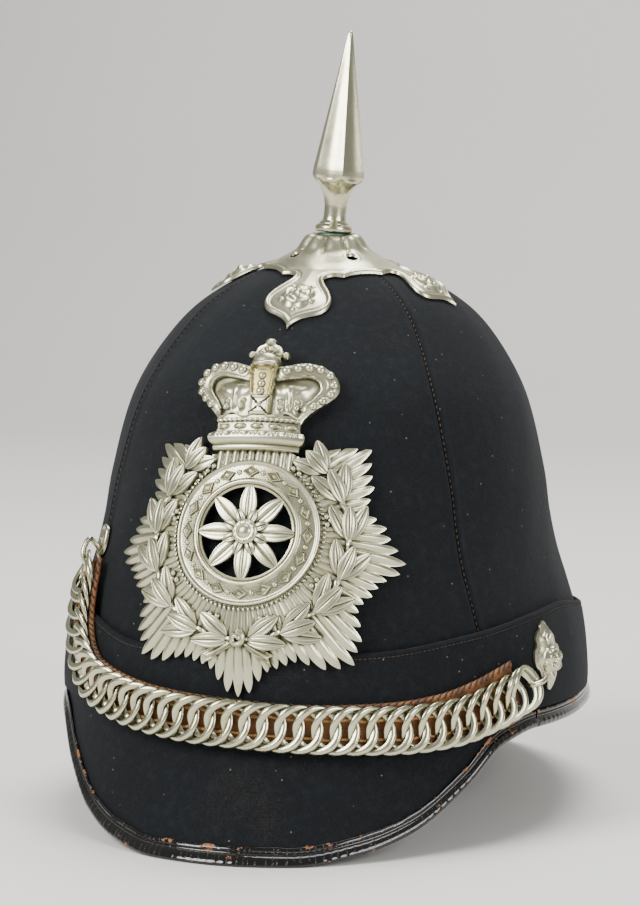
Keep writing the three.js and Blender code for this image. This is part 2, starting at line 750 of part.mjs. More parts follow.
// The thread that holds a run of rings together.
function chainThread(from, to) {
  const count = Math.ceil((to - from) / 12);
  const loops = steps(from, to, count).map((length) => [
    [-0.5, -0.4], [0.5, -0.4], [0.5, 0.4], [-0.5, 0.4],
  ].map(([across, out]) => routePoint(length, across, ringOut + out)));
  return sweep(loops, false);
}

function chainRun(middles) {
  const thread = chainThread(middles[0] + RING_RADIUS - 0.6, middles.at(-1) - RING_RADIUS + 0.6);
  return joined([thread, ...middles.map(chainRing)]);
}

function chainStrap() {
  const [from, to] = [ringLengths[0] - 5, ringLengths.at(-1) - 2];
  const [low, high] = [STRAP_RAISE - STRAP_WIDTH / 2, STRAP_RAISE + STRAP_WIDTH / 2];
  const across = [low, (low + high) / 2, high];
  const loops = steps(from, to, 48).map((length) => [
    ...across.map((place) => routePoint(length, place, CLOTH_TO_STRAP + STRAP_THICK)),
    ...across.toReversed().map((place) => routePoint(length, place, CLOTH_TO_STRAP)),
  ]);
  return sweep(loops, false);
}

for (let i = 0; i < CHAIN_SOLIDS; i += 1) {
  const share = (k) => Math.round(k * ringLengths.length / CHAIN_SOLIDS);
  addPiece(`chin_chain_${i + 1}`, chainRun(ringLengths.slice(share(i), share(i + 1))), METAL);
}
addPiece("chain_strap", chainStrap(), LEATHER);

// ---- the boss and the hook that hold the chain --------------------------------------------------

// A stamped plate that hugs the cloth: an oval with a wavy edge, thicker in the middle.
function stampedPlate(angle, height, half, tall, waves, out) {
  const around = steps(0, 360, 20).slice(0, -1);
  const loops = around.map((turn) => {
    const edge = 1 + 0.07 * Math.cos(waves * radians(turn));
    const reach = [half * edge * Math.sin(radians(turn)), tall * edge * Math.cos(radians(turn))];
    const place = (part, lift) => onCloth(angle, height, part * reach[0], part * reach[1], out + lift);
    return [place(0, 0), place(1, 0), place(1, 1), place(0.55, 2.4), place(0, 2.8)];
  });
  return sweep(loops, true);
}

const HOOK_WIRE = 1.0;
const LEFT_BOSS = { angle: 71, height: 65, half: 9, tall: 12 };
const RIGHT_HOOK = { angle: -49.8, height: 104.5, half: 4.5, tall: 6.5 };

// A hook that passes over the outer side of an end ring and down through it to the leather.
function ringHook(middle, side, root) {
  const place = (along, out) => routePoint(middle + side * along, 0, out);
  return bar([
    root,
    place(RING_RADIUS + 5.5, ringOut + 0.6),
    place(RING_RADIUS + 0.4, ringOut + RING_THICK / 2 + HOOK_WIRE + 0.6),
    place(RING_RADIUS - 3.6, ringOut + 0.9),
    place(RING_RADIUS - 4.2, ringOut - 1.6),
  ], HOOK_WIRE, 8, 14);
}

function leftBoss() {
  const { angle, height, half, tall } = LEFT_BOSS;
  const out = BAND_CLEAR + BAND_THICK + GAP;
  const plate = stampedPlate(angle, height, half, tall, 5, out);
  const root = onCloth(angle, height, -2, 1 - tall, out + 1.4);
  return joined([plate, ringHook(ringLengths.at(-1), 1, root)]);
}

function rightHook() {
  const { angle, height, half, tall } = RIGHT_HOOK;
  const plate = stampedPlate(angle, height, half, tall, 0, GAP + 0.2);
  const root = onCloth(angle, height, 0, -tall / 2, 1.6);
  return joined([plate, ringHook(ringLengths[0], -1, root)]);
}

addPiece("left_boss", leftBoss(), METAL);
addPiece("right_hook", rightHook(), METAL);

// The origin is the middle of the helmet's footprint, on the surface that it stands on.
const extent = new THREE.Box3().setFromObject(helmet, true);
const footprint = extent.getCenter(point(0, 0, 0));
helmet.position.set(-footprint.x, -footprint.y, -extent.min.z);

export default helmet;
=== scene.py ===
# %% [markdown]
# # A home service helmet
# This lesson dresses a finished construction model. The real helmet is a cork shell covered in dark
# blue-black wool cloth, with patent leather on its two peaks and nickel silver fittings struck from
# sheet. The construction gives every size and place. Here each piece gets its true surface: soft cloth,
# folded leather, struck ornament, stitches and lint.

# %% Load the frame
import json
import math

import bmesh
import bpy
import numpy as np
from mathutils import Matrix, Vector, geometry

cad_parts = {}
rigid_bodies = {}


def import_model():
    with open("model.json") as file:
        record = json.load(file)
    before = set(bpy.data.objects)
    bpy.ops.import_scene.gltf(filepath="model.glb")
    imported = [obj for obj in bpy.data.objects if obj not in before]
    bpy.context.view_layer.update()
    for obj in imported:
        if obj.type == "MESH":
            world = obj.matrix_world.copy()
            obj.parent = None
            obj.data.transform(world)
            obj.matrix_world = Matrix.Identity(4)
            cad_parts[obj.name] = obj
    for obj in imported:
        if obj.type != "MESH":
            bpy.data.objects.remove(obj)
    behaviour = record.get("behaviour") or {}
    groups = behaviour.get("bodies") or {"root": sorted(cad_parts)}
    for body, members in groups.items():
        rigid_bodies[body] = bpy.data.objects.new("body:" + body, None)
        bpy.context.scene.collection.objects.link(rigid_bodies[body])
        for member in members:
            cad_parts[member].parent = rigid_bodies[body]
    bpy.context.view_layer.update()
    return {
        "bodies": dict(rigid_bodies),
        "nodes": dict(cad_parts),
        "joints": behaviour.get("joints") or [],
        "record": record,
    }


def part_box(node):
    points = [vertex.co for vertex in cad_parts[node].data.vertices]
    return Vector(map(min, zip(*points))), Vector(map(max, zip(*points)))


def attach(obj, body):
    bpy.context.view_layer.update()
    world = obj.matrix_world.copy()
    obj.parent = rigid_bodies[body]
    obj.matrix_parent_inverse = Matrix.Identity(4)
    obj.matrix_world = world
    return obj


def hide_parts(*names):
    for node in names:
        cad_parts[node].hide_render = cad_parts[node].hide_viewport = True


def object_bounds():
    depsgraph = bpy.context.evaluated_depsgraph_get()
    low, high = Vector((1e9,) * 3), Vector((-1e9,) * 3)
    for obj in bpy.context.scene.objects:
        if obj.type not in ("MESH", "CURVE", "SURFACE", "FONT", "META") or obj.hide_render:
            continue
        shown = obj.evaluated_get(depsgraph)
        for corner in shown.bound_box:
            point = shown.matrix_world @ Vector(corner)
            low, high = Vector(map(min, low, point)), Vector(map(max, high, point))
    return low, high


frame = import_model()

# %% [markdown]
# ## Millimetres and metres
# Cap makers think in millimetres, and Blender in metres. All shapes below are worked out in
# millimetres about the upright line through the middle of the crown. One function then moves them
# into the frame. The crown's own box says where that line stands, so nothing is fitted by eye.

# %% Where the crown stands
MM = 0.001
CROWN_FRONT, CROWN_FOOT = 109.0, 48.0
crown_low, crown_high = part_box("crown_shell")
MIDDLE = np.array([
    (crown_low[0] + crown_high[0]) / 2,
    crown_low[1] + CROWN_FRONT * MM,
    crown_low[2] - CROWN_FOOT * MM,
])


def to_frame(places):
    """Millimetres about the crown's middle line, as metres in the frame."""
    return np.asarray(places, dtype=float) * MM + MIDDLE


print("the crown's middle line stands at", MIDDLE.round(5).tolist())

# %% [markdown]
# ## Tables of named columns
# A felt or cork body is drawn as a short table of sections, one row each. A smooth curve runs
# through the rows, so a few numbers carry the whole outline.

# %% Read a table smoothly


def table(columns, *rows):
    return np.array([tuple(row) for row in rows], dtype=[(name, float) for name in columns.split()])


def read_table(rows, column, value):
    """A smooth curve through one column, by the first column, that never overshoots its rows."""
    keys, values = rows[rows.dtype.names[0]], rows[column]
    slope = np.diff(values) / np.diff(keys)
    before, after = slope[:-1], slope[1:]
    product = before * after
    steady = np.zeros(len(keys))
    total = np.where(product > 0, before + after, 1.0)
    steady[1:-1] = np.where(product > 0, 2 * product / total, 0)
    value = np.clip(value, keys[0], keys[-1])
    k = np.clip(np.searchsorted(keys, value) - 1, 0, len(keys) - 2)
    span = keys[k + 1] - keys[k]
    t = (value - keys[k]) / span
    return ((2 * t**3 - 3 * t**2 + 1) * values[k] + (t**3 - 2 * t**2 + t) * span * steady[k]
            + (3 * t**2 - 2 * t**3) * values[k + 1] + (t**3 - t**2) * span * steady[k + 1])


def smooth_step(low, high, value):
    t = np.clip((value - low) / (high - low), 0, 1)
    return t * t * (3 - 2 * t)


def spline(a, b, c, d, t):
    """A smooth curve from b to c, steered by the points a and d on either side."""
    return 0.5 * (2 * b + (c - a) * t + (2 * a - 5 * b + 4 * c - d) * t**2 + (3 * b - a - 3 * c + d) * t**3)


def far_along(line):
    """How far along a line each of its points is."""
    return np.concatenate([[0], np.cumsum(np.linalg.norm(np.diff(line, axis=0), axis=1))])


def as_arrays(*values):
    """Numbers or arrays, all made into arrays of one shape."""
    return np.broadcast_arrays(*(np.asarray(v, dtype=float) for v in values))


def circle(count):
    """Angles evenly round a circle, in radians."""
    return np.linspace(0, 2 * math.pi, count + 1)[:-1]


CROWN = table(
    "height side front rear centre",
    (48, 100, 109, 124, 0), (70, 98, 108, 124, 0), (85, 93.5, 108.5, 122, 0.5),
    (99, 88.7, 107, 119, 1), (113, 85.5, 103.5, 115.5, 1.5), (131, 83, 98, 109, 2),
    (161, 75.5, 85.5, 95.5, 2.5), (185, 61.5, 62, 75, 3), (199, 46, 44.5, 55, 3),
    (208, 26, 25, 30, 3), (212, 0, 0, 0, 3),
)
EDGE = table(
    "angle height flare",
    (0, 1.8, 20), (12, 1.8, 18), (24, 5, 12.5), (34, 10.5, 7.5), (46, 23.5, 3.2), (57, 37.5, 1),
    (68, 41, 0), (90, 41, 0), (110, 41.5, 1.5), (125, 40.5, 5), (140, 33, 11), (152, 22, 17.5),
    (163, 8.5, 23.5), (172, 1.8, 27), (180, 1.8, 28),
)
BAND_HEAD = table(
    "angle height",
    (0, 69), (30, 69.5), (50, 72), (70, 76), (90, 78), (120, 76), (150, 72), (180, 70),
)
print("the crown is drawn from", len(CROWN), "sections")

# %% [markdown]
# ## The helmet's surface
# Every piece of cloth, leather and metal lies on one surface: the crown above, and the two peaks that
# flare out from its foot. These functions give any place on that surface for whole arrays at once.

# %% The crown and the peaks as functions
TOP_ROW = len(CROWN) - 1
PEAK_TOP = 47.7
FLARE_POWER = 1.6


def crown_section(at):
    """One level section at a running row number, mirrored beyond the top so that it closes smoothly."""
    at = np.asarray(at, dtype=float)
    k = np.clip(np.floor(at).astype(int), 0, TOP_ROW - 1)
    section = {}
    for column in CROWN.dtype.names:
        values = CROWN[column]
        mirrored = values[-2] if column in ("height", "centre") else -values[-2]
        first = 2 * values[0] - values[1] if column == "height" else values[0]
        padded = np.concatenate([[first], values, [mirrored]])
        section[column] = spline(*(padded[k + i] for i in range(4)), at - k)
    return section


ROWS_FINE = np.linspace(0, TOP_ROW, 4001)
HEIGHTS_FINE = crown_section(ROWS_FINE)["height"]


def oval_point(section, angle, outward=0.0):
    s, c = np.sin(np.radians(angle)), np.cos(np.radians(angle))
    reach = np.where(c > 0, section["front"], section["rear"])
    level = np.hypot(s * reach, c * section["side"]) + 1e-9
    x = section["side"] * s + outward * s * reach / level
    y = section["centre"] - reach * c - outward * c * section["side"] / level
    return np.stack(np.broadcast_arrays(x, y, section["height"]), axis=-1)


def row_at_height(height):
    return np.interp(height, HEIGHTS_FINE, ROWS_FINE)


def crown_height(x, y):
    """The height of the cloth over a place near the crown's top."""
    low, high = np.zeros(np.shape(x)), np.full(np.shape(x), float(TOP_ROW))
    for _ in range(32):
        middle = (low + high) / 2
        section = crown_section(middle)
        reach = np.where(y < section["centre"], section["front"], section["rear"])
        inside = np.hypot(x / section["side"], (y - section["centre"]) / reach) < 1
        low, high = np.where(inside, middle, low), np.where(inside, high, middle)
    return crown_section((low + high) / 2)["height"]


def away(angle):
    """The angle from straight ahead, 0 to 180."""
    return np.abs((np.asarray(angle, dtype=float) + 540) % 360 - 180)


def edge_height(angle):
    return read_table(EDGE, "height", away(angle))


def cloth_point(angle, height, outward=0.0):
    """A place on the helmet's surface, moved level off it."""
    angle, height, outward = as_arrays(angle, height, outward)
    down = np.clip((PEAK_TOP - height) / (PEAK_TOP - edge_height(angle)), 0, None)
    flare = read_table(EDGE, "flare", away(angle)) * down**FLARE_POWER
    foot = {name: CROWN[name][0] + 0 * height for name in CROWN.dtype.names}
    low = oval_point(foot, angle, flare + outward)
    high = oval_point(crown_section(row_at_height(np.maximum(height, CROWN_FOOT))), angle, outward)
    place = np.where((height < PEAK_TOP)[..., None], low, high)
    place[..., 2] = height
    return place


def unit(vectors):
    return vectors / np.maximum(np.linalg.norm(vectors, axis=-1, keepdims=True), 1e-12)


def on_cloth(angle, height, along, up, out):
    """A place reached by going some way along and up the surface, then lifted square off it."""
    step = 0.5
    wide = np.linalg.norm(cloth_point(angle + step, height) - cloth_point(angle - step, height), axis=-1)
    there = angle + along / wide * 2 * step
    rise = unit(cloth_point(there, height + step) - cloth_point(there, height - step))
    level = height + up * rise[..., 2]
    around = cloth_point(there + step, level) - cloth_point(there - step, level)
    upward = cloth_point(there, level + step) - cloth_point(there, level - step)
    normal = unit(np.cross(around, upward))
    return cloth_point(there, level) + normal * np.asarray(out)[..., None]


print("widest place of the crown, mm:", cloth_point(90, 48).round(1).tolist())

# %% [markdown]
# ## Helpers for meshes
# Most pieces here are sheets whose points come from a function. A grid of points becomes faces in
# one step, and the finished mesh is moved into the frame, shaded smooth apart from its true edges,
# and tied to the helmet's one body.

# %% Mesh helpers


def grid_faces(rows, columns, wrap_rows=False, wrap_columns=False):
    """Four-sided faces between neighbouring points of a grid stored row by row."""
    r = np.arange(rows if wrap_rows else rows - 1)
    c = np.arange(columns if wrap_columns else columns - 1)
    here_row, here_column = np.meshgrid(r, c, indexing="ij")
    next_row, next_column = (here_row + 1) % rows, (here_column + 1) % columns
    corners = [here_row * columns + here_column, here_row * columns + next_column,
               next_row * columns + next_column, next_row * columns + here_column]
    return np.stack(corners, axis=-1).reshape(-1, 4)


def tube_faces(rows, columns):
    """The wall of a closed tube, and one face over each end."""
    ends = [list(range(columns)), [(rows - 1) * columns + i for i in range(columns)][::-1]]
    return [list(face) for face in grid_faces(rows, columns, wrap_columns=True)] + ends


def raw_mesh(name, places, faces):
    mesh = bpy.data.meshes.new(name)
    mesh.from_pydata(np.reshape(places, (-1, 3)).tolist(), [], [list(map(int, face)) for face in faces])
    mesh.validate()
    mesh.update()
    return mesh


def shaded(mesh, sharp):
    """Smooth shading, apart from edges that turn by more than so many degrees."""
    mesh.shade_smooth()
    mesh.set_sharp_from_angle(angle=math.radians(sharp))
    return mesh


def reworked(mesh, step):
    """Opens a mesh for one editing step, and turns its faces outwards."""
    work = bmesh.new()
    work.from_mesh(mesh)
    step(work)
    bmesh.ops.recalc_face_normals(work, faces=work.faces)
    work.to_mesh(mesh)
    work.free()
    return mesh


def turned_out(mesh):
    return reworked(mesh, lambda work: bmesh.ops.remove_doubles(work, verts=work.verts, dist=1e-7))


def ends_filled(mesh):
    """Closes open ends with flat faces."""
    def fill(work):
        bmesh.ops.holes_fill(work, edges=[edge for edge in work.edges if edge.is_boundary])
    return reworked(mesh, fill)


def ends_split(mesh):
    """Cuts every face of more than four corners into triangles."""
    def split(work):
        bmesh.ops.triangulate(work, faces=[face for face in work.faces if len(face.verts) > 4])
    return reworked(mesh, split)


def new_mesh(name, places, faces, sharp):
    """A mesh from millimetre places about the crown's middle line."""
    return shaded(raw_mesh(name, to_frame(places), faces), sharp)


def closed_mesh(name, places, faces, sharp):
    return shaded(turned_out(raw_mesh(name, to_frame(places), faces)), sharp)


def settle(mesh, material, slot, *replaced):
    """Makes the mesh a piece of the helmet: gives it its material and its body, and hides the parts that it
    replaces.
    """
    piece = bpy.data.objects.new(mesh.name, mesh)
    bpy.context.scene.collection.objects.link(piece)
    mesh.materials.clear()
    mesh.materials.append(material)
    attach(piece, "root")
    if replaced:
        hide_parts(*replaced)
    print(f"{piece.name}: {len(mesh.polygons)} faces")

# %% [markdown]
# ## Finishes
# Each finish starts from what the real material is. A class holds the material while it is built:
# its methods add nodes and give back the sockets that come out of them. Colours are given in sRGB, as
# a dyer would name them, and turned to the linear numbers that the shader wants. Pattern scales come
# from real sizes in millimetres.

# %% Material helpers


def linear(colour):
    """An sRGB hex colour as linear red, green, blue and alpha."""
    channels = [int(colour[i:i + 2], 16) / 255 for i in (1, 3, 5)]
    return [c / 12.92 if c <= 0.04045 else ((c + 0.055) / 1.055) ** 2.4 for c in channels] + [1.0]


def per_metre(millimetres):
    """The scale of a pattern whose features are that far apart."""
    return 1 / (millimetres * MM)


def add(tree, kind, inputs=None, **settings):
    """Adds one node. Inputs are values, or the output sockets of other nodes."""
    node = tree.nodes.new(kind)
    for name, value in settings.items():
        setattr(node, name, value)
    for name, value in (inputs or {}).items():
        if isinstance(value, bpy.types.NodeSocket):
            tree.links.new(value, node.inputs[name])
        else:
            node.inputs[name].default_value = value
    return node


class Finish:
    """A material while it is built. It follows the piece's own place, in metres."""

    def __init__(self, name):
        self.material = bpy.data.materials.new(name)
        self.material.use_nodes = True
        self.tree = self.material.node_tree
        self.tree.nodes.clear()
        self.where = self.add("ShaderNodeTexCoord").outputs["Object"]

    def add(self, kind, inputs=None, **settings):
        return add(self.tree, kind, inputs, **settings)

    def noise(self, millimetres, detail=2.0, roughness=0.5):
        inputs = {"Vector": self.where, "Scale": per_metre(millimetres), "Detail": detail}
        return self.add("ShaderNodeTexNoise", {**inputs, "Roughness": roughness}).outputs["Fac"]

    def mask(self, value, low, high):
        """Zero below low, one above high, and a smooth step between."""
        inputs = {"Value": value, "From Min": low, "From Max": high}
        return self.add("ShaderNodeMapRange", inputs, interpolation_type="SMOOTHSTEP").outputs["Result"]

    def spread(self, value, first, last, low=0.0, high=1.0):
        """First at the low value, last at the high one, and evenly between."""
        inputs = {"Value": value, "From Min": low, "From Max": high, "To Min": first, "To Max": last}
        return self.add("ShaderNodeMapRange", inputs).outputs["Result"]

    def sum(self, operation, first, second):
        return self.add("ShaderNodeMath", {0: first, 1: second}, operation=operation).outputs[0]

    def plus(self, first, second):
        return self.sum("ADD", first, second)

    def times(self, first, second):
        return self.sum("MULTIPLY", first, second)

    def mix(self, factor, first, second):
        """The second colour over the first by a factor. Colours are hex strings or sockets."""
        first, second = (linear(c) if isinstance(c, str) else c for c in (first, second))
        return self.add("ShaderNodeMix", {"Factor": factor, 6: first, 7: second}, data_type="RGBA").outputs[2]

    def done(self, inputs, height=None, strength=0.0, depth=0.0):
        """The surface from its inputs, with relief as deep as so many millimetres where a height is given."""
        if height is not None:
            bump = self.add("ShaderNodeBump", {"Height": height, "Strength": strength, "Distance": depth * MM})
            inputs = {**inputs, "Normal": bump.outputs["Normal"]}
        shader = self.add("ShaderNodeBsdfPrincipled", inputs)
        self.add("ShaderNodeOutputMaterial", {"Surface": shader.outputs[0]})
        return self.material

# %% [markdown]
# ### Wool cloth
# The cover is fulled wool cloth: woven, then milled until the weave disappears under a felted nap and
# dyed almost black. It shows as a matte, slightly mottled surface with a soft sheen at grazing angles.
# Real nap is about 0.1 mm; it is drawn at about 0.5 mm here, because finer grain would not show. Years
# of handling leave pale lint and brown rubbed places.

# %% Wool cloth finish


def wool_cloth(name, rub_low):
    new = Finish(name)
    nap = new.noise(0.55, detail=3.0, roughness=0.7)
    mottle = new.noise(3.2, detail=3.0, roughness=0.6)
    broad = new.noise(38.0)
    colour = new.mix(new.mask(nap, 0.3, 0.72), "#08090a", "#15191d")
    colour = new.mix(new.times(new.mask(mottle, 0.45, 0.75), 0.35), colour, "#202427")
    rub = new.times(new.mask(broad, rub_low, 0.78), new.mask(nap, 0.42, 0.66))
    colour = new.mix(new.times(rub, 0.5), colour, "#2c2720")
    speck = new.add("ShaderNodeTexVoronoi", {"Vector": new.where, "Scale": per_metre(5.0), "Randomness": 1.0})
    lint = new.spread(speck.outputs["Distance"], 1.0, 0.0, 0.045, 0.075)
    chance = new.add("ShaderNodeSeparateColor", {"Color": speck.outputs["Color"]})
    specks = new.times(lint, new.mask(chance.outputs[0], 0.40, 0.44))
    colour = new.mix(new.times(specks, 0.5), colour, "#8a877c")
    look = {"Base Color": colour, "Roughness": 0.92, "Specular IOR Level": 0.18, "Sheen Weight": 0.06,
            "Sheen Roughness": 0.45, "Sheen Tint": linear("#b8bcc0")}
    return new.done(look, new.plus(nap, new.times(mottle, 0.6)), strength=0.55, depth=0.25)


CLOTH = wool_cloth("fulled_wool_cloth", rub_low=0.60)
BAND_CLOTH = wool_cloth("fulled_wool_band", rub_low=0.56)

# %% [markdown]
# ### Nickel silver
# The fittings are nickel silver, struck in a die and left with a satin surface: a warm, slightly
# greenish white metal. Recesses hold dull tarnish that polishing never reached, so the colour and the
# roughness follow how enclosed each place is. The darker colour in recesses and where one part lies
# over another is also painted shade. A metal keeps the shader's own index of refraction.
# Damp has left green copper salts on the washer under the spike.

# %% Nickel silver finish
RECESS_REACH, RECESS_ROUGHER = 2.4, 0.22


def nickel_silver(name, bright="#c8c6a9", tarnish_and_shade_colour="#5c5a44", stain="#9c8856", grain=0.5, rough=0.30):
    new = Finish(name)
    open_sky = new.add("ShaderNodeAmbientOcclusion", {"Distance": RECESS_REACH * MM}, samples=6)
    tarnish_and_painted_shade = new.mask(open_sky.outputs["AO"], 0.30, 0.92)
    patina = new.noise(6.0, detail=4.0, roughness=0.6)
    sand = new.noise(grain)
    # Enclosed places take the darker colour: dull tarnish, and also painted shade in recesses and where one
    # part lies over another.
    colour = new.mix(tarnish_and_painted_shade, tarnish_and_shade_colour, bright)
    colour = new.mix(new.times(new.mask(patina, 0.52, 0.8), 0.45), colour, stain)
    roughness = new.plus(new.spread(tarnish_and_painted_shade, rough + RECESS_ROUGHER, rough), new.spread(patina, -0.06, 0.10))
    look = {"Base Color": colour, "Metallic": 1.0, "Roughness": roughness}
    return new.done(look, new.plus(sand, new.times(patina, 0.7)), strength=0.22, depth=0.10)


def settle_metal(mesh, *replaced, finish=None):
    settle(mesh, finish or STRUCK, "white_metal", *replaced)


STRUCK = nickel_silver("struck_nickel_silver")
CAST = nickel_silver("cast_nickel_silver", rough=0.23, grain=0.9)
TARNISHED = nickel_silver("tarnished_nickel_silver", bright="#9a8e5e", tarnish_and_shade_colour="#5f4c22", stain="#7d6231")
VERDIGRIS = nickel_silver("verdigris_washer", bright="#6d8676", tarnish_and_shade_colour="#3c5046", stain="#7f9a88", rough=0.55)

# %% [markdown]
# ### Leather
# Patent leather is leather under many coats of black oil varnish. With age the varnish cracks across
# the fold and flakes, so that tan leather shows. The chain's strap is plain tan leather, and the
# threads are waxed linen, brown on the band and black round the strap.

# %% Leather and thread finishes


def patent_leather(name):
    new = Finish(name)
    lengths = new.add("ShaderNodeUVMap", uv_map="strip").outputs["UV"]
    strip = new.add("ShaderNodeSeparateXYZ", {"Vector": lengths})
    patches = new.noise(7.0, detail=5.0, roughness=0.65)
    fine = new.noise(0.8)
    along = new.plus(strip.outputs["X"], new.times(fine, 1.2 * MM))
    cells = new.add("ShaderNodeTexVoronoi", {"W": along, "Scale": per_metre(2.6), "Randomness": 1.0},
                    voronoi_dimensions="1D", feature="DISTANCE_TO_EDGE")
    cracked = new.times(new.mask(cells.outputs["Distance"], 0.08, 0.03), new.mask(patches, 0.40, 0.52))
    margin = new.mask(strip.outputs["Y"], 2.4 * MM, 0.6 * MM)
    loss = new.plus(patches, new.times(fine, 0.12))
    flaked = new.mask(new.plus(loss, new.times(margin, 0.09)), 0.705, 0.725)
    colour = new.mix(flaked, "#0a0a0a", "#8a5428")
    colour = new.mix(new.times(cracked, 0.6), colour, "#2c261f")
    rough = new.mix(new.mask(patches, 0.45, 0.70), "#2e2e2e", "#5c5c5c")
    rough = new.mix(flaked, rough, "#c0c0c0")
    height = new.sum("SUBTRACT", new.times(fine, 0.12), new.plus(cracked, flaked))
    look = {"Base Color": colour, "Roughness": rough, "Coat Weight": 0.25, "Coat Roughness": 0.1}
    return new.done(look, height, strength=0.4, depth=0.18)


def tan_leather(name):
    new = Finish(name)
    grain = new.noise(0.7, detail=3.0, roughness=0.65)
    colour = new.mix(new.mask(new.noise(9.0, detail=3.0), 0.3, 0.7), "#57351b", "#976235")
    colour = new.mix(new.times(new.mask(grain, 0.5, 0.75), 0.5), colour, "#432711")
    return new.done({"Base Color": colour, "Roughness": 0.72}, grain, strength=0.6, depth=0.2)


def linen_thread(name, dark, pale):
    new = Finish(name)
    ply = new.noise(0.4)
    colour = new.mix(new.mask(ply, 0.35, 0.65), dark, pale)
    return new.done({"Base Color": colour, "Roughness": 0.8}, ply, strength=0.5, depth=0.1)


PATENT = patent_leather("cracked_patent_leather")
STRAP_LEATHER = tan_leather("tan_strap_leather")
BROWN_THREAD = linen_thread("brown_linen_thread", "#261e14", "#4e3d26")
BLACK_THREAD = linen_thread("black_linen_thread", "#15120f", "#3a3028")
TAN_CORD = linen_thread("tan_sewing_cord", "#7c5630", "#b28a52")

# %% [markdown]
# ## One Geometry Nodes tree for everything that repeats
# Stitches, rings, leaves and pearls are each one small shape many times over. The tree puts a part on
# every point of a mesh, turned and sized by two attributes, makes the copies real and gives them
# their finish. The places are worked out by the formulas of the piece they belong to.

# %% The scatter tree


def scatter_tree():
    tree = bpy.data.node_groups.new("part_on_places", "GeometryNodeTree")
    for name, kind in (("Places", "Geometry"), ("Part", "Object"), ("Finish", "Material"), ("Size", "Float")):
        tree.interface.new_socket(name, in_out="INPUT", socket_type="NodeSocket" + kind)
    tree.interface.new_socket("Pieces", in_out="OUTPUT", socket_type="NodeSocketGeometry")
    given = add(tree, "NodeGroupInput")
    part = add(tree, "GeometryNodeObjectInfo", {"Object": given.outputs["Part"]})
    turn = add(tree, "GeometryNodeInputNamedAttribute", {"Name": "turn"}, data_type="QUATERNION")
    size = add(tree, "GeometryNodeInputNamedAttribute", {"Name": "size"}, data_type="FLOAT_VECTOR")
    scaled = add(tree, "ShaderNodeVectorMath", {0: size.outputs["Attribute"]}, operation="SCALE")
    tree.links.new(given.outputs["Size"], scaled.inputs["Scale"])
    copies = add(tree, "GeometryNodeInstanceOnPoints", {
        "Points": given.outputs["Places"], "Instance": part.outputs["Geometry"],
        "Rotation": turn.outputs["Attribute"], "Scale": scaled.outputs[0],
    })
    real = add(tree, "GeometryNodeRealizeInstances", {"Geometry": copies.outputs["Instances"]})
    dressed = add(tree, "GeometryNodeSetMaterial", {
        "Geometry": real.outputs["Geometry"], "Material": given.outputs["Finish"],
    })
    result = add(tree, "NodeGroupOutput")
    tree.links.new(dressed.outputs["Geometry"], result.inputs["Pieces"])
    return tree


SCATTER = scatter_tree()


def quaternions(first, second):
    """The turns that bring the part's own X to first and its Y towards second."""
    first = unit(np.asarray(first, dtype=float))
    third = unit(np.cross(first, second))
    middle = np.cross(third, first)
    frames = np.stack([first, middle, third], axis=-1)
    return [Matrix(frame.tolist()).to_quaternion() for frame in frames.reshape(-1, 3, 3)]


def scatter(name, part, places, first, second, material, sizes=1.0):
    """A mesh of one part on many places. Places, and the part's own mesh, are in millimetres."""
    places, sizes = np.asarray(places, dtype=float).reshape(-1, 3), np.asarray(sizes, dtype=float)
    sizes = np.broadcast_to(sizes[:, None] if sizes.ndim == 1 else sizes, places.shape)
    turns = quaternions(np.broadcast_to(first, places.shape), np.broadcast_to(second, places.shape))
    points = raw_mesh(name + "_places", to_frame(places), [])
    points.attributes.new("turn", "QUATERNION", "POINT").data.foreach_set("value", np.array(turns).ravel())
    points.attributes.new("size", "FLOAT_VECTOR", "POINT").data.foreach_set("vector", sizes.ravel())
    holder = bpy.data.objects.new(name + "_places", points)
    model = bpy.data.objects.new(name + "_part", part)
    for thing in (holder, model):
        bpy.context.scene.collection.objects.link(thing)
    modifier = holder.modifiers.new("part_on_places", "NODES")
    modifier.node_group = SCATTER
    sockets = {item.name: item.identifier for item in SCATTER.interface.items_tree if item.in_out == "INPUT"}
    for socket, value in (("Part", model), ("Finish", material), ("Size", MM)):
        modifier[sockets[socket]] = value
    bpy.context.view_layer.update()
    made = bpy.data.meshes.new_from_object(holder.evaluated_get(bpy.context.evaluated_depsgraph_get()))
    made.name = name
    for thing in (holder, model):
        bpy.data.objects.remove(thing)
    return made


def part_mesh(name, vertices, faces, sharp=50):
    """A small closed mesh in millimetres about its own origin, for the scatter tree."""
    return shaded(turned_out(raw_mesh(name, vertices, faces)), sharp)


print("the scatter tree has", len(SCATTER.nodes), "nodes")

# %% [markdown]
# ## The camera
# The helmet is seen from a little to its own left and from just above, the usual view for a
# collector's record. A long lens keeps the proportions calm. The camera is turned by half a degree
# about its own axis, and it looks at a place inside the crown.

# %% Place the camera


def place_camera(azimuth=16.8, elevation=4.2, roll=0.5, distance=1031, aim_height=135.5, aim_side=-3.3):
    a, e, r = (math.radians(v) for v in (azimuth, elevation, roll))
    level = np.array([math.cos(a), math.sin(a), 0])
    look = np.array([-math.sin(a) * math.cos(e), math.cos(a) * math.cos(e), -math.sin(e)])
    above = np.cross(level, look)
    right = level * math.cos(r) + above * math.sin(r)
    up = above * math.cos(r) - level * math.sin(r)
    stand = to_frame(level * aim_side + [0, 0, aim_height] - look * distance)
    lens = bpy.data.cameras.new("camera")
    lens.sensor_fit, lens.sensor_height, lens.lens = "VERTICAL", 36.0, 104.34
    camera = bpy.data.objects.new("camera", lens)
    axes = np.stack([right, up, -look], axis=1)
    camera.matrix_world = Matrix([[*row, place] for row, place in zip(axes, stand)] + [[0, 0, 0, 1]])
    bpy.context.scene.collection.objects.link(camera)
    bpy.context.scene.camera = camera
    return camera


camera = place_camera()
print("camera stands at", [round(v, 3) for v in camera.matrix_world.translation])

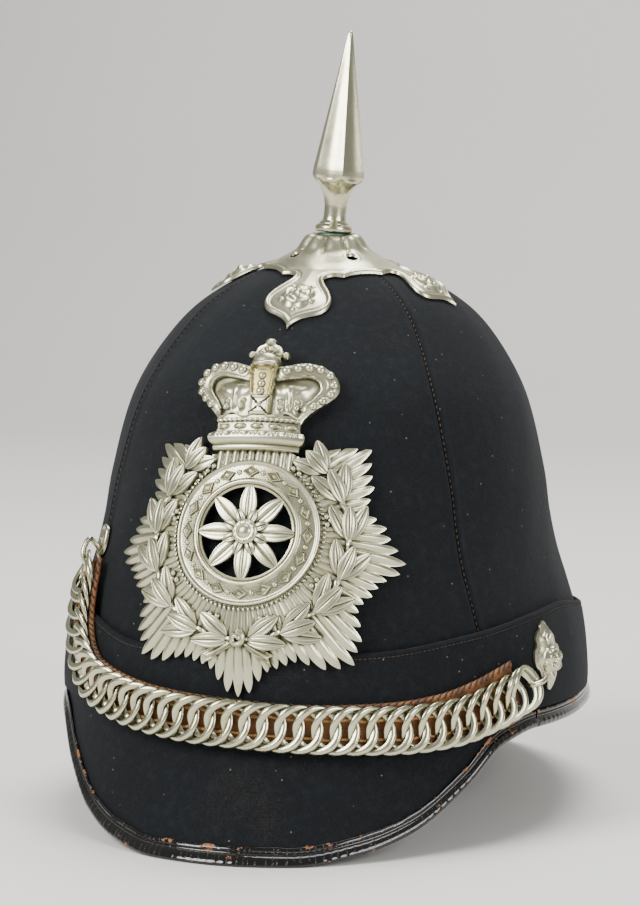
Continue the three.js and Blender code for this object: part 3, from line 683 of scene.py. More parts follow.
# %% [markdown]
# ## The crown's cloth
# The cork shell is covered by four shaped panels of cloth, sewn edge to edge and stretched over it
# damp. The seams run from the top to the band, halfway between front, back and sides. A seam could be
# a texture, but its edge catches the light, so it is modelled: a narrow groove between two low lips
# where the turned-in cloth lies double. The grid has more columns beside the seams than between them.

# %% Cover the crown
SHELL_WALL, SHELL_COLUMNS, SHELL_EVERY = 4.0, 384, 4
SHOULDER_ROW, OUTER_LAST_ROW, INNER_LAST_ROW = 8, 9.96, 8.3  # running row numbers of the crown's table
SEAMS, SEAM_CROWD = (-133, -47, 47, 133), 2.2
SEAM_DRIFT = 6.0
LIP_HEIGHT, LIP_AT, LIP_WIDE = 0.42, 2.0, 1.5
GROOVE_DEPTH, GROOVE_WIDE = 1.0, 0.7
SLACK_DEPTH, SLACK_MEAN = 0.13, 2.2


def drifted(angle, height):
    """The seams stand wider apart lower down, and the grid of the cloth follows them."""
    return angle + SEAM_DRIFT * smooth_step(200, 85, height) * np.sin(np.radians(2 * angle))


def crowded(low, high, count, centres, width, extra=6.0):
    """Values from low to high that stand closer together near the centres."""
    fine = np.linspace(low, high, 6001)
    nearness = sum(np.exp(-((fine - c) / width) ** 2) for c in centres)
    total = np.concatenate([[0], np.cumsum(1 + extra * (nearness[1:] + nearness[:-1]) / 2)])
    return np.interp(np.linspace(0, total[-1], count), total, fine)


def seam_relief(angle, circumference):
    """Groove and lips of the nearest seam, by the distance from it along the cloth, in millimetres."""
    nearest = np.min(np.abs(np.subtract.outer(np.asarray(SEAMS, dtype=float), angle)), axis=0)
    far = nearest / 360 * circumference
    lips = LIP_HEIGHT * np.exp(-((far - LIP_AT) / LIP_WIDE) ** 2)
    return lips - GROOVE_DEPTH * np.exp(-(far / GROOVE_WIDE) ** 2)


def slack(angle, height, seed):
    """The slight unevenness of cloth over cork: always inwards, to stay clear of the fittings."""
    a = np.radians(angle)
    broad = np.sin(5 * a + seed) * np.sin(height / 23 + 2 * seed)
    wave = broad + np.sin(11 * a + 3 * seed) * np.sin(height / 11) + 0.6 * np.sin(19 * a - height / 9 + seed)
    return SLACK_DEPTH * (wave - SLACK_MEAN)


def cover_crown():
    angles = crowded(-180, 180, SHELL_COLUMNS + 1, SEAMS, SEAM_CROWD)[:-1]
    wall, cap = np.linspace(0, SHOULDER_ROW, 90)[:-1], np.linspace(SHOULDER_ROW, OUTER_LAST_ROW, 38)
    rows = np.concatenate([wall, cap])
    angle, at = np.meshgrid(angles, rows)
    section = crown_section(at)
    around = 2 * math.pi * np.sqrt(section["side"] * (section["front"] + section["rear"]) / 2)
    fade = smooth_step(9.9, 9.0, at)
    out = (seam_relief(angle, around) + slack(angle, section["height"], 1.0)) * fade
    section["height"] = section["height"] + 0 * angle
    outer = oval_point(section, drifted(angle, section["height"]), out)
    inner_rows = np.linspace(0, INNER_LAST_ROW, 40)
    coarse, low = np.meshgrid(angles[::SHELL_EVERY], inner_rows)
    inner = oval_point(crown_section(low), coarse, -SHELL_WALL)
    count, few = SHELL_COLUMNS, SHELL_COLUMNS // SHELL_EVERY
    tops = [[0, -3, CROWN["height"][-1]], [0, -3, inner[-1, 0, 2]]]
    places = np.concatenate([outer.reshape(-1, 3), inner.reshape(-1, 3), tops])
    faces = [list(f) for f in grid_faces(len(rows), count, wrap_columns=True)]
    start = len(rows) * count
    faces += [[start + i for i in f[::-1]] for f in grid_faces(len(inner_rows), few, wrap_columns=True)]
    top, under = len(places) - 2, len(places) - 1
    last, last_in = (len(rows) - 1) * count, start + (len(inner_rows) - 1) * few
    faces += [[last + i, last + (i + 1) % count, top] for i in range(count)]
    faces += [[last_in + (i + 1) % few, last_in + i, under] for i in range(few)]
    for i in range(few):
        across = [(SHELL_EVERY * i + k) % count for k in range(SHELL_EVERY + 1)]
        faces.append([start + i, start + (i + 1) % few] + across[::-1])
    return new_mesh("crown_cloth", places, faces, sharp=50)


settle(cover_crown(), CLOTH, "cloth", "crown_shell")

# %% [markdown]
# ## The cloth band
# A band of the same cloth, folded double, hides the place where the peaks join the crown. Its upper
# edge is the fold, so it is rounded, and a row of stitches two millimetres below holds it down. The
# band's section is drawn once and carried round the crown at the height of its own upper edge.

# %% Sew on the band
BAND_FOOT, BAND_CLEAR, BAND_OUT = 46.5, 0.6, 2.0
STITCH_BELOW_FOLD, BAND_STITCH_PITCH = 1.9, 1.75
BAND_SECTION = table(
    "below out",
    (0.35, 0.62), (0.0, 1.1), (0.0, 1.7), (0.5, 2.25), (1.2, 2.35), (1.65, 2.1), (1.9, 1.85), (2.2, 2.05),
    (2.8, 2.2), (4.5, 2.1), (7, BAND_OUT), (10, BAND_OUT),
)


def band_head(angle):
    """The fold's height. It was sewn on by eye, so it climbs more on the wearer's right of the front."""
    turn = (np.asarray(angle, dtype=float) + 180) % 360 - 180
    by_eye = 3.0 + 2.4 * smooth_step(20, 65, turn) + 5.6 * smooth_step(-24, -46, turn)
    a = np.radians(angle)
    wander = 0.25 * np.sin(9 * a + 1) * np.sin(2 * a)
    return read_table(BAND_HEAD, "height", away(angle)) + by_eye * smooth_step(112, 78, np.abs(turn)) + wander


def cloth_band():
    """Its rows run down the fold and the outside to the foot, and up again behind."""
    angles, shares = np.arange(360.0), np.linspace(0, 1, 9)[1:]
    a = np.radians(angles)
    ripple = 0.12 * np.sin(17 * a) * np.sin(5 * a + 1) + 0.05 * np.sin(29 * a + 2)
    head = band_head(angles)
    foot = head - BAND_SECTION["below"][-1]
    rows = []
    for row in BAND_SECTION:
        rows.append((head - row["below"], row["out"] + ripple * smooth_step(0.7, 1.6, row["out"])))
    for share in shares:
        out = BAND_OUT - 0.35 * smooth_step(0.8, 1.0, share) + ripple * (1 - share)
        rows.append((foot + (BAND_FOOT - foot) * share, out))
    for k in range(len(shares)):
        rows.append((BAND_FOOT + 0.2 + (head - 1.0 - BAND_FOOT) * (k / len(shares)), BAND_CLEAR))
    places = [cloth_point(angles, height, out) for height, out in rows]
    return closed_mesh("band_cloth", places, grid_faces(len(rows), len(angles), True, True), sharp=60)


settle(cloth_band(), BAND_CLOTH, "cloth", "cloth_band")


def even_angles(height_of, low, high, pitch):
    """Angles whose places on the cloth stand the same distance apart."""
    fine = np.linspace(low, high, 2001)
    far = far_along(cloth_point(fine, height_of(fine), 2.0))
    return np.interp(np.arange(0, far[-1], pitch), far, fine)


def capsule(length, radius, around=6, cap=2):
    """A stitch: a short round bar with rounded ends, lying along X."""
    turns = [math.pi / 2 * k / (cap + 1) for k in range(1, cap + 2)]
    stations = [(-length / 2 - radius * 0.9 * math.cos(t), radius * math.sin(t)) for t in turns]
    stations += [(-x, r) for x, r in reversed(stations)]
    vertices = [(x, r * math.cos(a), r * math.sin(a)) for x, r in stations for a in circle(around)]
    return part_mesh("stitch", vertices, tube_faces(len(stations), around))


def band_stitches():
    def line(angle, up=0.0, out=0.0):
        return cloth_point(angle, band_head(angle) - STITCH_BELOW_FOLD + up, out)
    angles = even_angles(lambda angle: band_head(angle) - STITCH_BELOW_FOLD, 0, 360, BAND_STITCH_PITCH)
    return scatter("band_stitches", capsule(length=0.95, radius=0.17), line(angles, out=2.02),
                   line(angles + 0.4) - line(angles - 0.4), line(angles, 1) - line(angles, -1), BROWN_THREAD)


settle(band_stitches(), BROWN_THREAD, "cloth")

# %% [markdown]
# ## The two peaks
# Each peak is cork or leather board, cloth above and plain cloth below, pressed into its curve over
# a block. Its outline is the table of edge heights. A grid from the crown down to the edge, with a
# second grid one wall thickness behind it, makes a closed pressed shape.

# %% Press the peaks
PEAK_WALL, PEAK_ROWS = 3.4, 44
EAR_ANGLE, EAR_GAP = 68, 0.4
FRONT_SPAN = (-EAR_ANGLE + EAR_GAP, EAR_ANGLE - EAR_GAP)
REAR_SPAN = (EAR_ANGLE + EAR_GAP, 360 - EAR_ANGLE - EAR_GAP)


def peak(name, angles, seed):
    angle, share = np.meshgrid(angles, np.linspace(0, 1, PEAK_ROWS))
    height = PEAK_TOP + (edge_height(angle) - PEAK_TOP) * share
    fade = smooth_step(0, 0.15, share) * smooth_step(1, 0.85, share)
    outer = cloth_point(angle, height, fade * slack(angle, height, seed) * 0.8)
    rows = np.concatenate([outer, cloth_point(angle, height, -PEAK_WALL)[::-1]])
    faces = grid_faces(len(rows), len(angles), wrap_rows=True)
    return ends_split(ends_filled(new_mesh(name, rows, faces, sharp=50)))


for side, span, columns, seed in (("front", FRONT_SPAN, 150, 2.3), ("rear", REAR_SPAN, 230, 4.1)):
    settle(peak(f"{side}_peak_cloth", np.linspace(*span, columns), seed), CLOTH, "cloth", f"{side}_peak")

# %% [markdown]
# ## The leather bindings
# A strip of patent leather is folded over each edge and sewn through near its upper margin. So its
# section has a thin flat margin, a groove pulled in by the thread, and then the round roll of the
# folded edge. Lengths along and round the strip are kept as a UV map in metres, because the old
# varnish cracks across the strip and flakes along its margin, whichever way the edge is heading.

# %% Bind the edges
BINDING_SECTION = table(
    "outward above",
    (0.28, 4.35), (0.45, 4.6), (0.75, 4.62), (0.95, 4.4), (1.02, 3.9), (0.98, 3.45), (0.72, 3.2), (0.98, 2.95),
    (1.08, 2.6), (0.98, 2.3), (0.82, 2.12), (1.05, 1.92), (1.45, 1.5), (1.78, 0.9), (1.95, 0.2), (1.93, -0.5),
    (1.7, -1.1), (1.2, -1.55), (0.4, -1.76), (-1.6, -1.79), (-3.7, -1.78), (-4.5, -1.55), (-4.95, -0.9),
    (-5.0, 0.0), (-4.85, 2.0), (-4.8, 3.6), (-4.6, 3.85), (-3.9, 3.85), (-3.72, 3.6), (-3.72, -0.28),
    (0.28, -0.28),
)


def binding(name, angles):
    section = BINDING_SECTION
    edge = edge_height(angles)
    far = far_along(cloth_point(angles, edge))
    wobble = 0.10 * np.sin(far / 3.1) + 0.08 * np.sin(far / 1.37 + 1)
    pleat = 0.07 * np.sin(far / 0.55) * (0.5 + 0.5 * np.sin(far / 7.0))
    places = []
    for row in section:
        margin = smooth_step(3.0, 4.4, row["above"]) * (row["outward"] > 0)
        roll = smooth_step(-1.9, 0.0, row["above"]) * smooth_step(2.1, 1.2, row["above"]) * (row["outward"] > 1)
        height, out = edge + row["above"] + wobble * margin, row["outward"] + pleat * roll
        places.append(cloth_point(angles, height, out))
    mesh = new_mesh(name, places, grid_faces(len(section), len(angles), wrap_rows=True), sharp=50)
    around = far_along(np.stack([section["outward"], section["above"]], axis=1))
    corner = np.zeros(len(mesh.loops), dtype=np.int32)
    mesh.loops.foreach_get("vertex_index", corner)
    uv = np.stack([far[corner % len(far)], around[corner // len(far)]], axis=1) * MM
    mesh.uv_layers.new(name="strip").data.foreach_set("uv", uv.ravel())
    return ends_filled(mesh)


EDGE_ANGLES = {"front": np.linspace(*FRONT_SPAN, 700), "rear": np.linspace(*REAR_SPAN, 1000)}
for side, angles in EDGE_ANGLES.items():
    settle(binding(f"{side}_binding_leather", angles), PATENT, "patent_leather", f"{side}_binding")

# %% [markdown]
# ## The plate's own surface
# The plate is struck from sheet and bent to the helmet's front. It has a middle line, measured up
# from its foot, and at each height it is bent round with its own radius. One function turns a place on
# the flat plate, across and above the middle of the circlet, into a place in space.

# %% Where the plate lies
PLATE_LINE = table(
    "height back bend",
    (58.4, -111.6, 92), (72, -111.4, 90), (85, -109.8, 86), (99, -107.4, 81.4), (113, -103.4, 78.6),
    (131, -97.3, 75), (150, -89.6, 73), (165, -82.6, 72), (183, -74.4, 72),
)
CIRCLET_ABOVE_FOOT, PLATE_SIDE = 56.4, 1.0
LINE_HEIGHTS = np.linspace(PLATE_LINE["height"][0], PLATE_LINE["height"][-1], 2001)
LINE_BACKS = read_table(PLATE_LINE, "back", LINE_HEIGHTS)
LINE_FAR = far_along(np.stack([LINE_HEIGHTS, LINE_BACKS], axis=1))


def on_plate(across, above, lift):
    across, above, lift = as_arrays(across, above, lift)
    far = above + CIRCLET_ABOVE_FOOT
    inside = np.clip(far, 0, LINE_FAR[-1])
    height, back = (np.interp(inside, LINE_FAR, line) for line in (LINE_HEIGHTS, LINE_BACKS))
    ends = [np.clip(inside + step, 0, LINE_FAR[-1]) for step in (-2.0, 2.0)]
    rise, run = (np.interp(ends[1], LINE_FAR, line) - np.interp(ends[0], LINE_FAR, line)
                 for line in (LINE_HEIGHTS, LINE_BACKS))
    rise, run = rise / np.hypot(rise, run), run / np.hypot(rise, run)
    bend = read_table(PLATE_LINE, "bend", height)
    turn = across / bend
    off = (bend + lift) * np.cos(turn) - bend
    x = PLATE_SIDE + (bend + lift) * np.sin(turn)
    y = back + run * (far - inside) - rise * off
    z = height + rise * (far - inside) + run * off
    return np.stack([x, y, z], axis=-1)


def directions_on_plate(across, above, heading):
    """The ways along a heading, in degrees from straight up towards +X, and square to its left."""
    a = np.radians(heading)
    here = on_plate(across, above, 1.0)
    along = on_plate(across + np.sin(a), above + np.cos(a), 1.0) - here
    beside = on_plate(across - np.cos(a), above + np.sin(a), 1.0) - here
    return along, beside


print("the plate's line is", LINE_FAR[-1].round(1), "mm long")

# %% [markdown]
# ## Struck sheet
# A die presses relief into sheet metal: the front carries the pattern, the outline is cut, and the
# edge shows the thickness. Here that is one helper. It fills an outline with evenly spaced points,
# joins them to triangles, lifts each by a height function, and closes the sheet with a back and a wall.

# %% The relief helper
ROW_SPACING = 0.866  # the height of an even triangle, as a share of its side
POINTS_AT_ONCE = 1500


def inside_loop(loop, points):
    """Which points lie inside a closed loop, by counting how often a level line crosses it."""
    x, y = points[:, 0][:, None], points[:, 1][:, None]
    ends = np.roll(loop, -1, axis=0)
    crosses = (loop[:, 1] > y) != (ends[:, 1] > y)
    rise = np.where(ends[:, 1] == loop[:, 1], 1e-12, ends[:, 1] - loop[:, 1])
    at = loop[:, 0] + (y - loop[:, 1]) / rise * (ends[:, 0] - loop[:, 0])
    return (crosses & (x < at)).sum(axis=1) % 2 == 1


def far_from(line, points, closed=True):
    """How far each point is from a line of short straight pieces."""
    line = np.asarray(line, dtype=float)
    a, b = (line, np.roll(line, -1, axis=0)) if closed else (line[:-1], line[1:])
    d = b - a
    size = np.maximum((d * d).sum(axis=1), 1e-12)
    result = []
    for part in np.array_split(points, max(1, len(points) // POINTS_AT_ONCE)):
        off = part[:, None] - a
        t = np.clip((off * d).sum(axis=2) / size, 0, 1)
        result.append(np.linalg.norm(off - t[..., None] * d, axis=2).min(axis=1))
    return np.concatenate(result)


def resample(line, spacing, closed=True):
    """The same line with points at an even spacing. Corners are kept."""
    line = np.asarray(line, dtype=float)
    ends = np.roll(line, -1, axis=0) if closed else line[1:]
    result = []
    for a, b in zip(line, ends):
        count = max(1, int(round(np.linalg.norm(b - a) / spacing)))
        result += [a + (b - a) * k / count for k in range(count)]
    if not closed:
        result.append(line[-1])
    return np.array(result)


def filled(loops, cell):
    """Points and triangles of a flat outline with holes. The loops' own points come first."""
    def inside(points):
        keep = inside_loop(loops[0], points)
        for hole in loops[1:]:
            keep &= ~inside_loop(hole, points)
        return keep
    low, high = loops[0].min(axis=0), loops[0].max(axis=0)
    rows = np.arange(low[1], high[1], cell * ROW_SPACING)
    x, y = np.meshgrid(np.arange(low[0], high[0], cell), rows)
    x = x + (np.arange(len(rows)) % 2)[:, None] * cell / 2
    points = np.stack([x.ravel(), y.ravel()], axis=1)
    points = points[inside(points)]
    edges, start = [], 0
    for loop in loops:
        points = points[far_from(loop, points) > 0.5 * cell]
        edges += [(start + i, start + (i + 1) % len(loop)) for i in range(len(loop))]
        start += len(loop)
    everything = [Vector(p) for p in np.concatenate([*loops, points]).tolist()]
    made, _, triangles, origins = geometry.delaunay_2d_cdt(everything, edges, [], 0, 1e-7)[:4]
    made = np.array([tuple(v) for v in made])
    where = {source: k for k, sources in enumerate(origins) for source in sources}
    triangles = np.array([t for t in triangles if len(t) == 3])
    good = inside(made[triangles].mean(axis=1))
    return made, triangles[good], [(where[a], where[b]) for a, b in edges]


def struck_sheet(name, loops, lay, relief, back, cell=0.36, rough_back=3):
    """A closed sheet: relief on the front, a plain back and a wall along every loop."""
    points, triangles, rim = filled(loops, cell)
    plain, back_triangles, back_rim = filled(loops, cell * rough_back)
    places = np.concatenate([lay(*points.T, relief(points)), lay(*plain.T, back)])
    shift = len(points)
    faces = [list(t) for t in triangles] + [[shift + i for i in t[::-1]] for t in back_triangles]
    faces += [[a, b, shift + d, shift + c][::-1] for (a, b), (c, d) in zip(rim, back_rim)]
    return closed_mesh(name, places, faces, sharp=60)


def ridge(far, half):
    """A rounded ridge: one on the line, zero at half its width."""
    return np.sqrt(np.clip(1 - (far / half) ** 2, 0, 1))


def mound(far, half):
    """A soft mound: one in the middle, zero at its edge, level at both."""
    return np.clip(1 - (far / half) ** 2, 0, 1) ** 2


def smooth_line(rows, spacing=0.6, closed=False):
    """A smooth line through a few points, for outlines that have no corners."""
    p = np.asarray(rows, dtype=float)
    before, after = (p[-1:], p[:2]) if closed else (2 * p[:1] - p[1:2], 2 * p[-1:] - p[-2:-1])
    p = np.concatenate([before, p, after])
    result = []
    for a, b, c, d in zip(p, p[1:], p[2:], p[3:]):
        count = max(2, int(np.linalg.norm(c - b) / spacing))
        result.append(spline(a, b, c, d, (np.arange(count) / count)[:, None]))
    if not closed:
        result.append(p[-2:-1])
    return np.concatenate(result)

# %% [markdown]
# ## The star
# Eight clusters of ten rays, the longest in the middle of each. A ray is a rounded bar with a
# crest, and between two rays the metal falls to a sharp valley. A grid that runs along and across the
# rays keeps crests and valleys crisp, which an even grid would blur. At the top, below the crown, the
# rays give way to a short row of upright flutes.

# %% Strike the star
STAR_BELOW, STAR_HOLE, RAYS, CLUSTERS = 5.0, 18.6, 80, 8
RAY_TIPS = (58.4, 55.8, 52.8, 50.2, 47.8, 46.6)
RAY_NOTCH = (6.6, 5.4, 4.6, 4.2, 3.8, 3.4)
FLUTES_WITHIN, FLUTE_PITCH = 27, 2.9
RAY_COLUMNS, RAY_SHARES = 12, np.concatenate([[0], np.linspace(0.16, 0.93, 22), np.linspace(0.945, 1.0, 8)])


def star_base(radius):
    """How far the sheet itself stands off its back, fuller in the middle."""
    return 0.9 + 1.5 * np.clip(1 - (radius / 58) ** 2, 0, 1)


def beside_top(angle):
    """The angle from straight up, 0 to 180."""
    return np.abs((angle % 360) - 180)


def star_reach(angle):
    """The outline's radius by the angle from straight down, and the place across one ray, -1 to 1."""
    pitch = 360 / RAYS
    number = np.round(angle / pitch)
    across = 2 * (angle / pitch - number)
    per_cluster = RAYS // CLUSTERS
    offset = np.abs((number + per_cluster // 2) % per_cluster - per_cluster // 2).astype(int)
    tip = np.take(RAY_TIPS, offset) - 5.2 * np.clip(np.cos(np.radians(angle)), 0, 1) ** 8
    tip = tip + 1.0 * np.sin(np.radians(number * 97)) * (offset > 0)
    depth = np.take(RAY_NOTCH, offset)
    far = np.abs(across)
    reach = tip - depth * (0.45 * far + 0.55 * far**2.6)
    return np.minimum(reach, 37 + 1.15 * np.clip(beside_top(angle) - FLUTES_WITHIN, 0, 60)), across


def ray_place(angle, reach, share):
    """A place between the round hole, which is concentric with the circlet, and the outline."""
    outer = np.stack([reach * np.sin(np.radians(angle)), -STAR_BELOW - reach * np.cos(np.radians(angle))])
    rim = outer * STAR_HOLE / np.linalg.norm(outer, axis=0)
    return rim + (outer - rim) * share


def star_plate():
    angles = np.linspace(0, 360, RAYS * RAY_COLUMNS + 1)[:-1]
    angle, share = np.meshgrid(angles, RAY_SHARES)
    reach, across = star_reach(angle)
    x, above = ray_place(angle, reach, share)
    radius = np.hypot(x, above + STAR_BELOW)
    width = 2 * math.pi * radius / RAYS
    far = np.abs(across)
    crest = width * (0.15 * (1 - far) + 0.08 * (1 - far**4))
    fall = smooth_step(1.02, 0.75, share)
    flutes = np.abs(np.sin(math.pi * x / FLUTE_PITCH)) ** 0.7
    crest = np.where(beside_top(angle) < FLUTES_WITHIN, flutes, crest * fall)
    thin = 1 - 0.25 * smooth_step(0.5, 1.0, share)
    front = on_plate(x, above, star_base(radius) * thin + crest)
    angle, share = np.meshgrid(angles, np.linspace(1, 0, 9))
    behind = on_plate(*ray_place(angle, star_reach(angle)[0], share), 0.0)
    rows = np.concatenate([front, behind])
    return closed_mesh("star_rays", rows, grid_faces(len(rows), len(angles), True, True), sharp=48)


settle_metal(star_plate(), "star_plate")

# %% [markdown]
# ## The royal crown
# The crown over the star is its own die, with the most detail of all. From the foot up there is a
# lip, a heavy roll, a band with jewels, a rope edge, a scalloped line, a cross between two lilies,
# two arches with pearls, a middle arch, an orb and a small cross. Each is one term of the height
# function, in millimetres above the circlet's middle, and the pearls are set on afterwards.

# %% Strike the crown
CROWN_HALF = [
    (15.5, 29.9), (15.6, 31.6), (16.0, 32.0), (16.7, 32.8), (17.1, 34.0), (16.9, 35.4), (16.2, 36.4),
    (15.3, 37.2), (14.9, 38.4), (15.0, 40.4), (15.9, 42.6), (18.0, 45.2), (20.8, 48.0), (23.8, 50.8),
    (26.0, 53.4), (26.9, 55.6), (26.6, 58.0), (25.3, 60.4), (23.0, 62.3), (20.2, 63.7), (17.2, 64.4),
    (14.0, 64.3), (11.2, 63.6), (8.6, 62.6), (6.2, 61.8), (4.8, 61.5), (4.9, 63.2), (4.6, 65.0),
    (4.1, 66.0), (4.9, 66.0), (5.7, 65.4), (6.8, 65.6), (7.5, 66.6), (7.2, 67.7), (6.1, 68.3),
    (5.0, 68.0), (4.5, 68.8), (4.4, 69.8), (3.4, 70.8), (2.2, 71.3), (1.7, 71.9), (1.9, 72.9),
    (1.3, 73.9), (0.0, 74.3),
]
CROWN_OUTLINE = np.concatenate([CROWN_HALF, np.array(CROWN_HALF)[-2::-1] * [-1, 1]])
ARCH_LINE = smooth_line([(17.6, 46.6), (20.4, 49.2), (23.0, 52.0), (24.4, 55.0), (24.1, 58.4), (21.6, 61.0),
                         (17.4, 61.9), (12.6, 61.2), (7.4, 59.4)])
INNER_ARCH = smooth_line([(14.6, 45.2), (16.6, 48.6), (19.2, 52.0), (20.4, 55.0), (19.2, 57.7), (15.6, 58.7),
                          (10.6, 57.6), (4.8, 56.2)])
CAP_LOOP = np.concatenate([INNER_ARCH, [[0, 56.2], [0, 42.8], [14.0, 42.8]]])
SCALLOP_WAVE, CROSS_ABOVE, ORB_ABOVE = 9.6, 46.2, 62.4
LILY_SIDE, LILY_FOOT, JEWEL_PITCH = 9.9, 42.4, 6.2
LIP_MIDDLE, LIP_TOP, ROLL_MIDDLE, ROLL_TOP = 30.9, 31.9, 34.3, 36.9
JEWELS_FOOT, JEWELS_MIDDLE, JEWELS_TOP = 36.6, 38.6, 40.5
LANE_FOOT, ORB_FOOT, ORB_RADIUS, FAN_ABOVE = 49.8, 59.2, 4.3, 66.2


def scallop_height(x):
    return 41.9 + 1.7 * np.abs(np.cos(math.pi * x / SCALLOP_WAVE)) ** 2.2


def crown_body(x):
    """The bulge of the whole crown, fullest in the middle."""
    return 2.2 + 2.6 * np.clip(1 - (x / 27) ** 2, 0, 1)


def lily(points, x, foot):
    """A fleur-de-lis: an upright petal, two curled side petals and a bar."""
    u, v = points[:, 0] - x, points[:, 1] - foot
    petal = 1.3 * mound(np.hypot(u / 1.15, (v - 6.2) / 4.0), 1)
    side = 1.1 * mound(np.hypot((np.abs(u) - 3.0) / 1.25, (v - 4.2) / 2.8), 1)
    curl = 1.3 * mound(np.hypot(np.abs(u) - 3.1, v - 6.3), 1.35)
    bar = 0.9 * mound(np.hypot(u / 2.6, (v - 1.2) / 0.75), 1)
    return np.maximum.reduce([petal, side, curl, bar])


def crown_foot(across, y, body, height):
    """The rope's ground, a band with jewels, a heavy roll with a crinkled top, and a lip."""
    place = across - JEWEL_PITCH * np.round(across / JEWEL_PITCH)
    jewel = 1.15 * ridge(np.hypot(place / 2.2, (y - JEWELS_MIDDLE) / 0.95), 1) * (np.abs(across) < 14)
    height = np.where((y > JEWELS_FOOT) & (y < JEWELS_TOP), body - 0.9 + jewel, height)
    crinkle = 0.42 * np.cos(2 * math.pi * (across / 2.1 + 0.3 * np.sin(across))) * mound(y - 35.4, 1.1)
    roll = body - 1.0 + 2.8 * ridge(np.abs(y - ROLL_MIDDLE), 2.55) + crinkle
    height = np.where((y > LIP_TOP) & (y < ROLL_TOP), roll, height)
    return np.where(y <= LIP_TOP, body - 0.9 + 0.8 * ridge(np.abs(y - LIP_MIDDLE), 1.1), height)


def crown_orb(x, y, body, height):
    """The orb with its belt, and on it the cross: a fan, a knob on each arm and one on top."""
    orb = np.hypot(x / 1.06, y - ORB_ABOVE)
    ball = body + 0.4 + 3.0 * ridge(orb, ORB_RADIUS) + 0.45 * ridge(np.abs(y - 61.0 - 0.045 * x * x), 0.5)
    height = np.where((orb < ORB_RADIUS) & (y > ORB_FOOT), np.maximum(height, ball), height)
    fan = 0.55 * np.cos(9 * np.arctan2(x, y - FAN_ABOVE)) * (np.hypot(x, y - FAN_ABOVE) < 4.4)
    height = np.where(y > 65.9, 3.2 + fan + 0.9 * mound(np.hypot(x, y - 67.6), 1.2), height)
    knob = (2.4 + 2.2 * ridge(np.hypot(x - 6.1, y - 66.8), 1.5)) * (x > 4.4)
    height = np.where(y > 65.2, np.maximum(height, knob), height)
    return np.maximum(height, np.where(y > 70.4, 2.4 + 2.5 * ridge(np.hypot(x, y - 72.5), 1.7), 0))


def crown_relief(points):
    x, y = np.abs(points[:, 0]), points[:, 1]
    mirrored, body = np.stack([x, y], axis=1), crown_body(x)
    height = body - 0.9 * (1 - smooth_step(0.0, 1.6, far_from(CROWN_OUTLINE, points)))
    # the arches, and the hollow that they frame
    height = height + 0.6 * ridge(far_from(ARCH_LINE, mirrored, closed=False), 2.4)
    folds = 0.22 * np.cos(12 * np.arctan2(y - 45, x - 9.4)) * mound(y - 53.5, 3.5)
    puff = 1.5 * mound(np.hypot((x - 10.6) / 8.5, (y - 52.8) / 4.2), 1) + folds
    height = np.where(inside_loop(CAP_LOOP, mirrored), body - 1.7 + puff, height)
    # the cross pattee and the lilies
    up = np.abs(y - CROSS_ABOVE)
    square = np.maximum(x, up)
    arms = 0.8 + 0.55 * ridge(np.abs(square - 3.1), 0.5) - 1.0 * ridge(np.abs(x - up), 0.36) * (square > 0.7)
    arms = np.maximum(arms, 1.5 * mound(np.hypot(x, up), 1.1))
    height = np.where(square < 3.6, np.maximum(height, body - 0.1 + arms), height)
    for side in (-LILY_SIDE, LILY_SIDE):
        height = height + lily(points, side, LILY_FOOT) * (y > LILY_FOOT - 0.2)
    # the middle arch, between raised edges, over the cross
    half = 3.6 + 0.10 * (y - 50)
    lane = body + 0.9 + 0.5 * np.clip((y - LANE_FOOT) / 9, 0, 1) + 1.1 * ridge(np.abs(x - half + 0.5), 0.55)
    height = np.where((x < half) & (y > LANE_FOOT) & (y < 61.0), lane, height)
    return crown_foot(points[:, 0], y, body, crown_orb(x, y, body, height))


def royal_crown():
    loops = [resample(CROWN_OUTLINE, 0.5)]
    return struck_sheet("royal_crown", loops, on_plate, crown_relief, back=0.3, rough_back=7)


settle_metal(royal_crown())

# %% [markdown]
# Pearls are small round beads. One bead mesh goes on every place: nine on each arch, three down the
# middle arch, and two beside each lily.

# %% Set the pearls


def bead(rings=5, around=10, depth=0.8):
    """A rounded bead, its foot sunk a little below its own origin, with Z outwards."""
    vertices = [(0, 0, depth)]
    vertices += [(math.sin(a) * math.cos(b), math.sin(a) * math.sin(b), math.cos(a) * depth)
                 for a in np.linspace(0, math.pi / 2 * 1.15, rings)[1:] for b in circle(around)]
    faces = [[0, 1 + i, 1 + (i + 1) % around] for i in range(around)]
    faces += [[1 + k for k in f][::-1] for f in grid_faces(rings - 1, around, wrap_columns=True)]
    faces.append([1 + (rings - 2) * around + i for i in range(around)][::-1])
    return part_mesh("bead", vertices, faces)


def on_plate_scatter(name, part, places, headings, lifts, sizes=1.0):
    """Struck parts laid on the plate: their own X towards the heading, and their Z outwards."""
    across, above = np.asarray(places, dtype=float).T
    along, beside = directions_on_plate(across, above, headings)
    return scatter(name, part, on_plate(across, above, lifts), along, beside, STRUCK, sizes)


def crown_pearls():
    arch = resample(ARCH_LINE, 0.2, closed=False)
    far = far_along(arch)
    marks = np.linspace(1.2, far[-1] - 0.4, 9)
    side = np.stack([np.interp(marks, far, column) for column in arch.T], axis=1)
    middle = [(0, 51.3), (0, 54.1), (0, 56.9)]
    lilies = [(lily_at + beside, CROSS_ABOVE) for lily_at in (-LILY_SIDE, LILY_SIDE) for beside in (-2.9, 2.9)]
    places = np.concatenate([side, side * [-1, 1], middle, lilies])
    sizes = [*np.linspace(1.5, 1.8, 9)] * 2 + [1.6, 1.6, 1.5] + [1.2] * 4
    return on_plate_scatter("crown_pearls", bead(), places, 0.0, crown_relief(places) + 0.05, sizes)


settle_metal(crown_pearls())

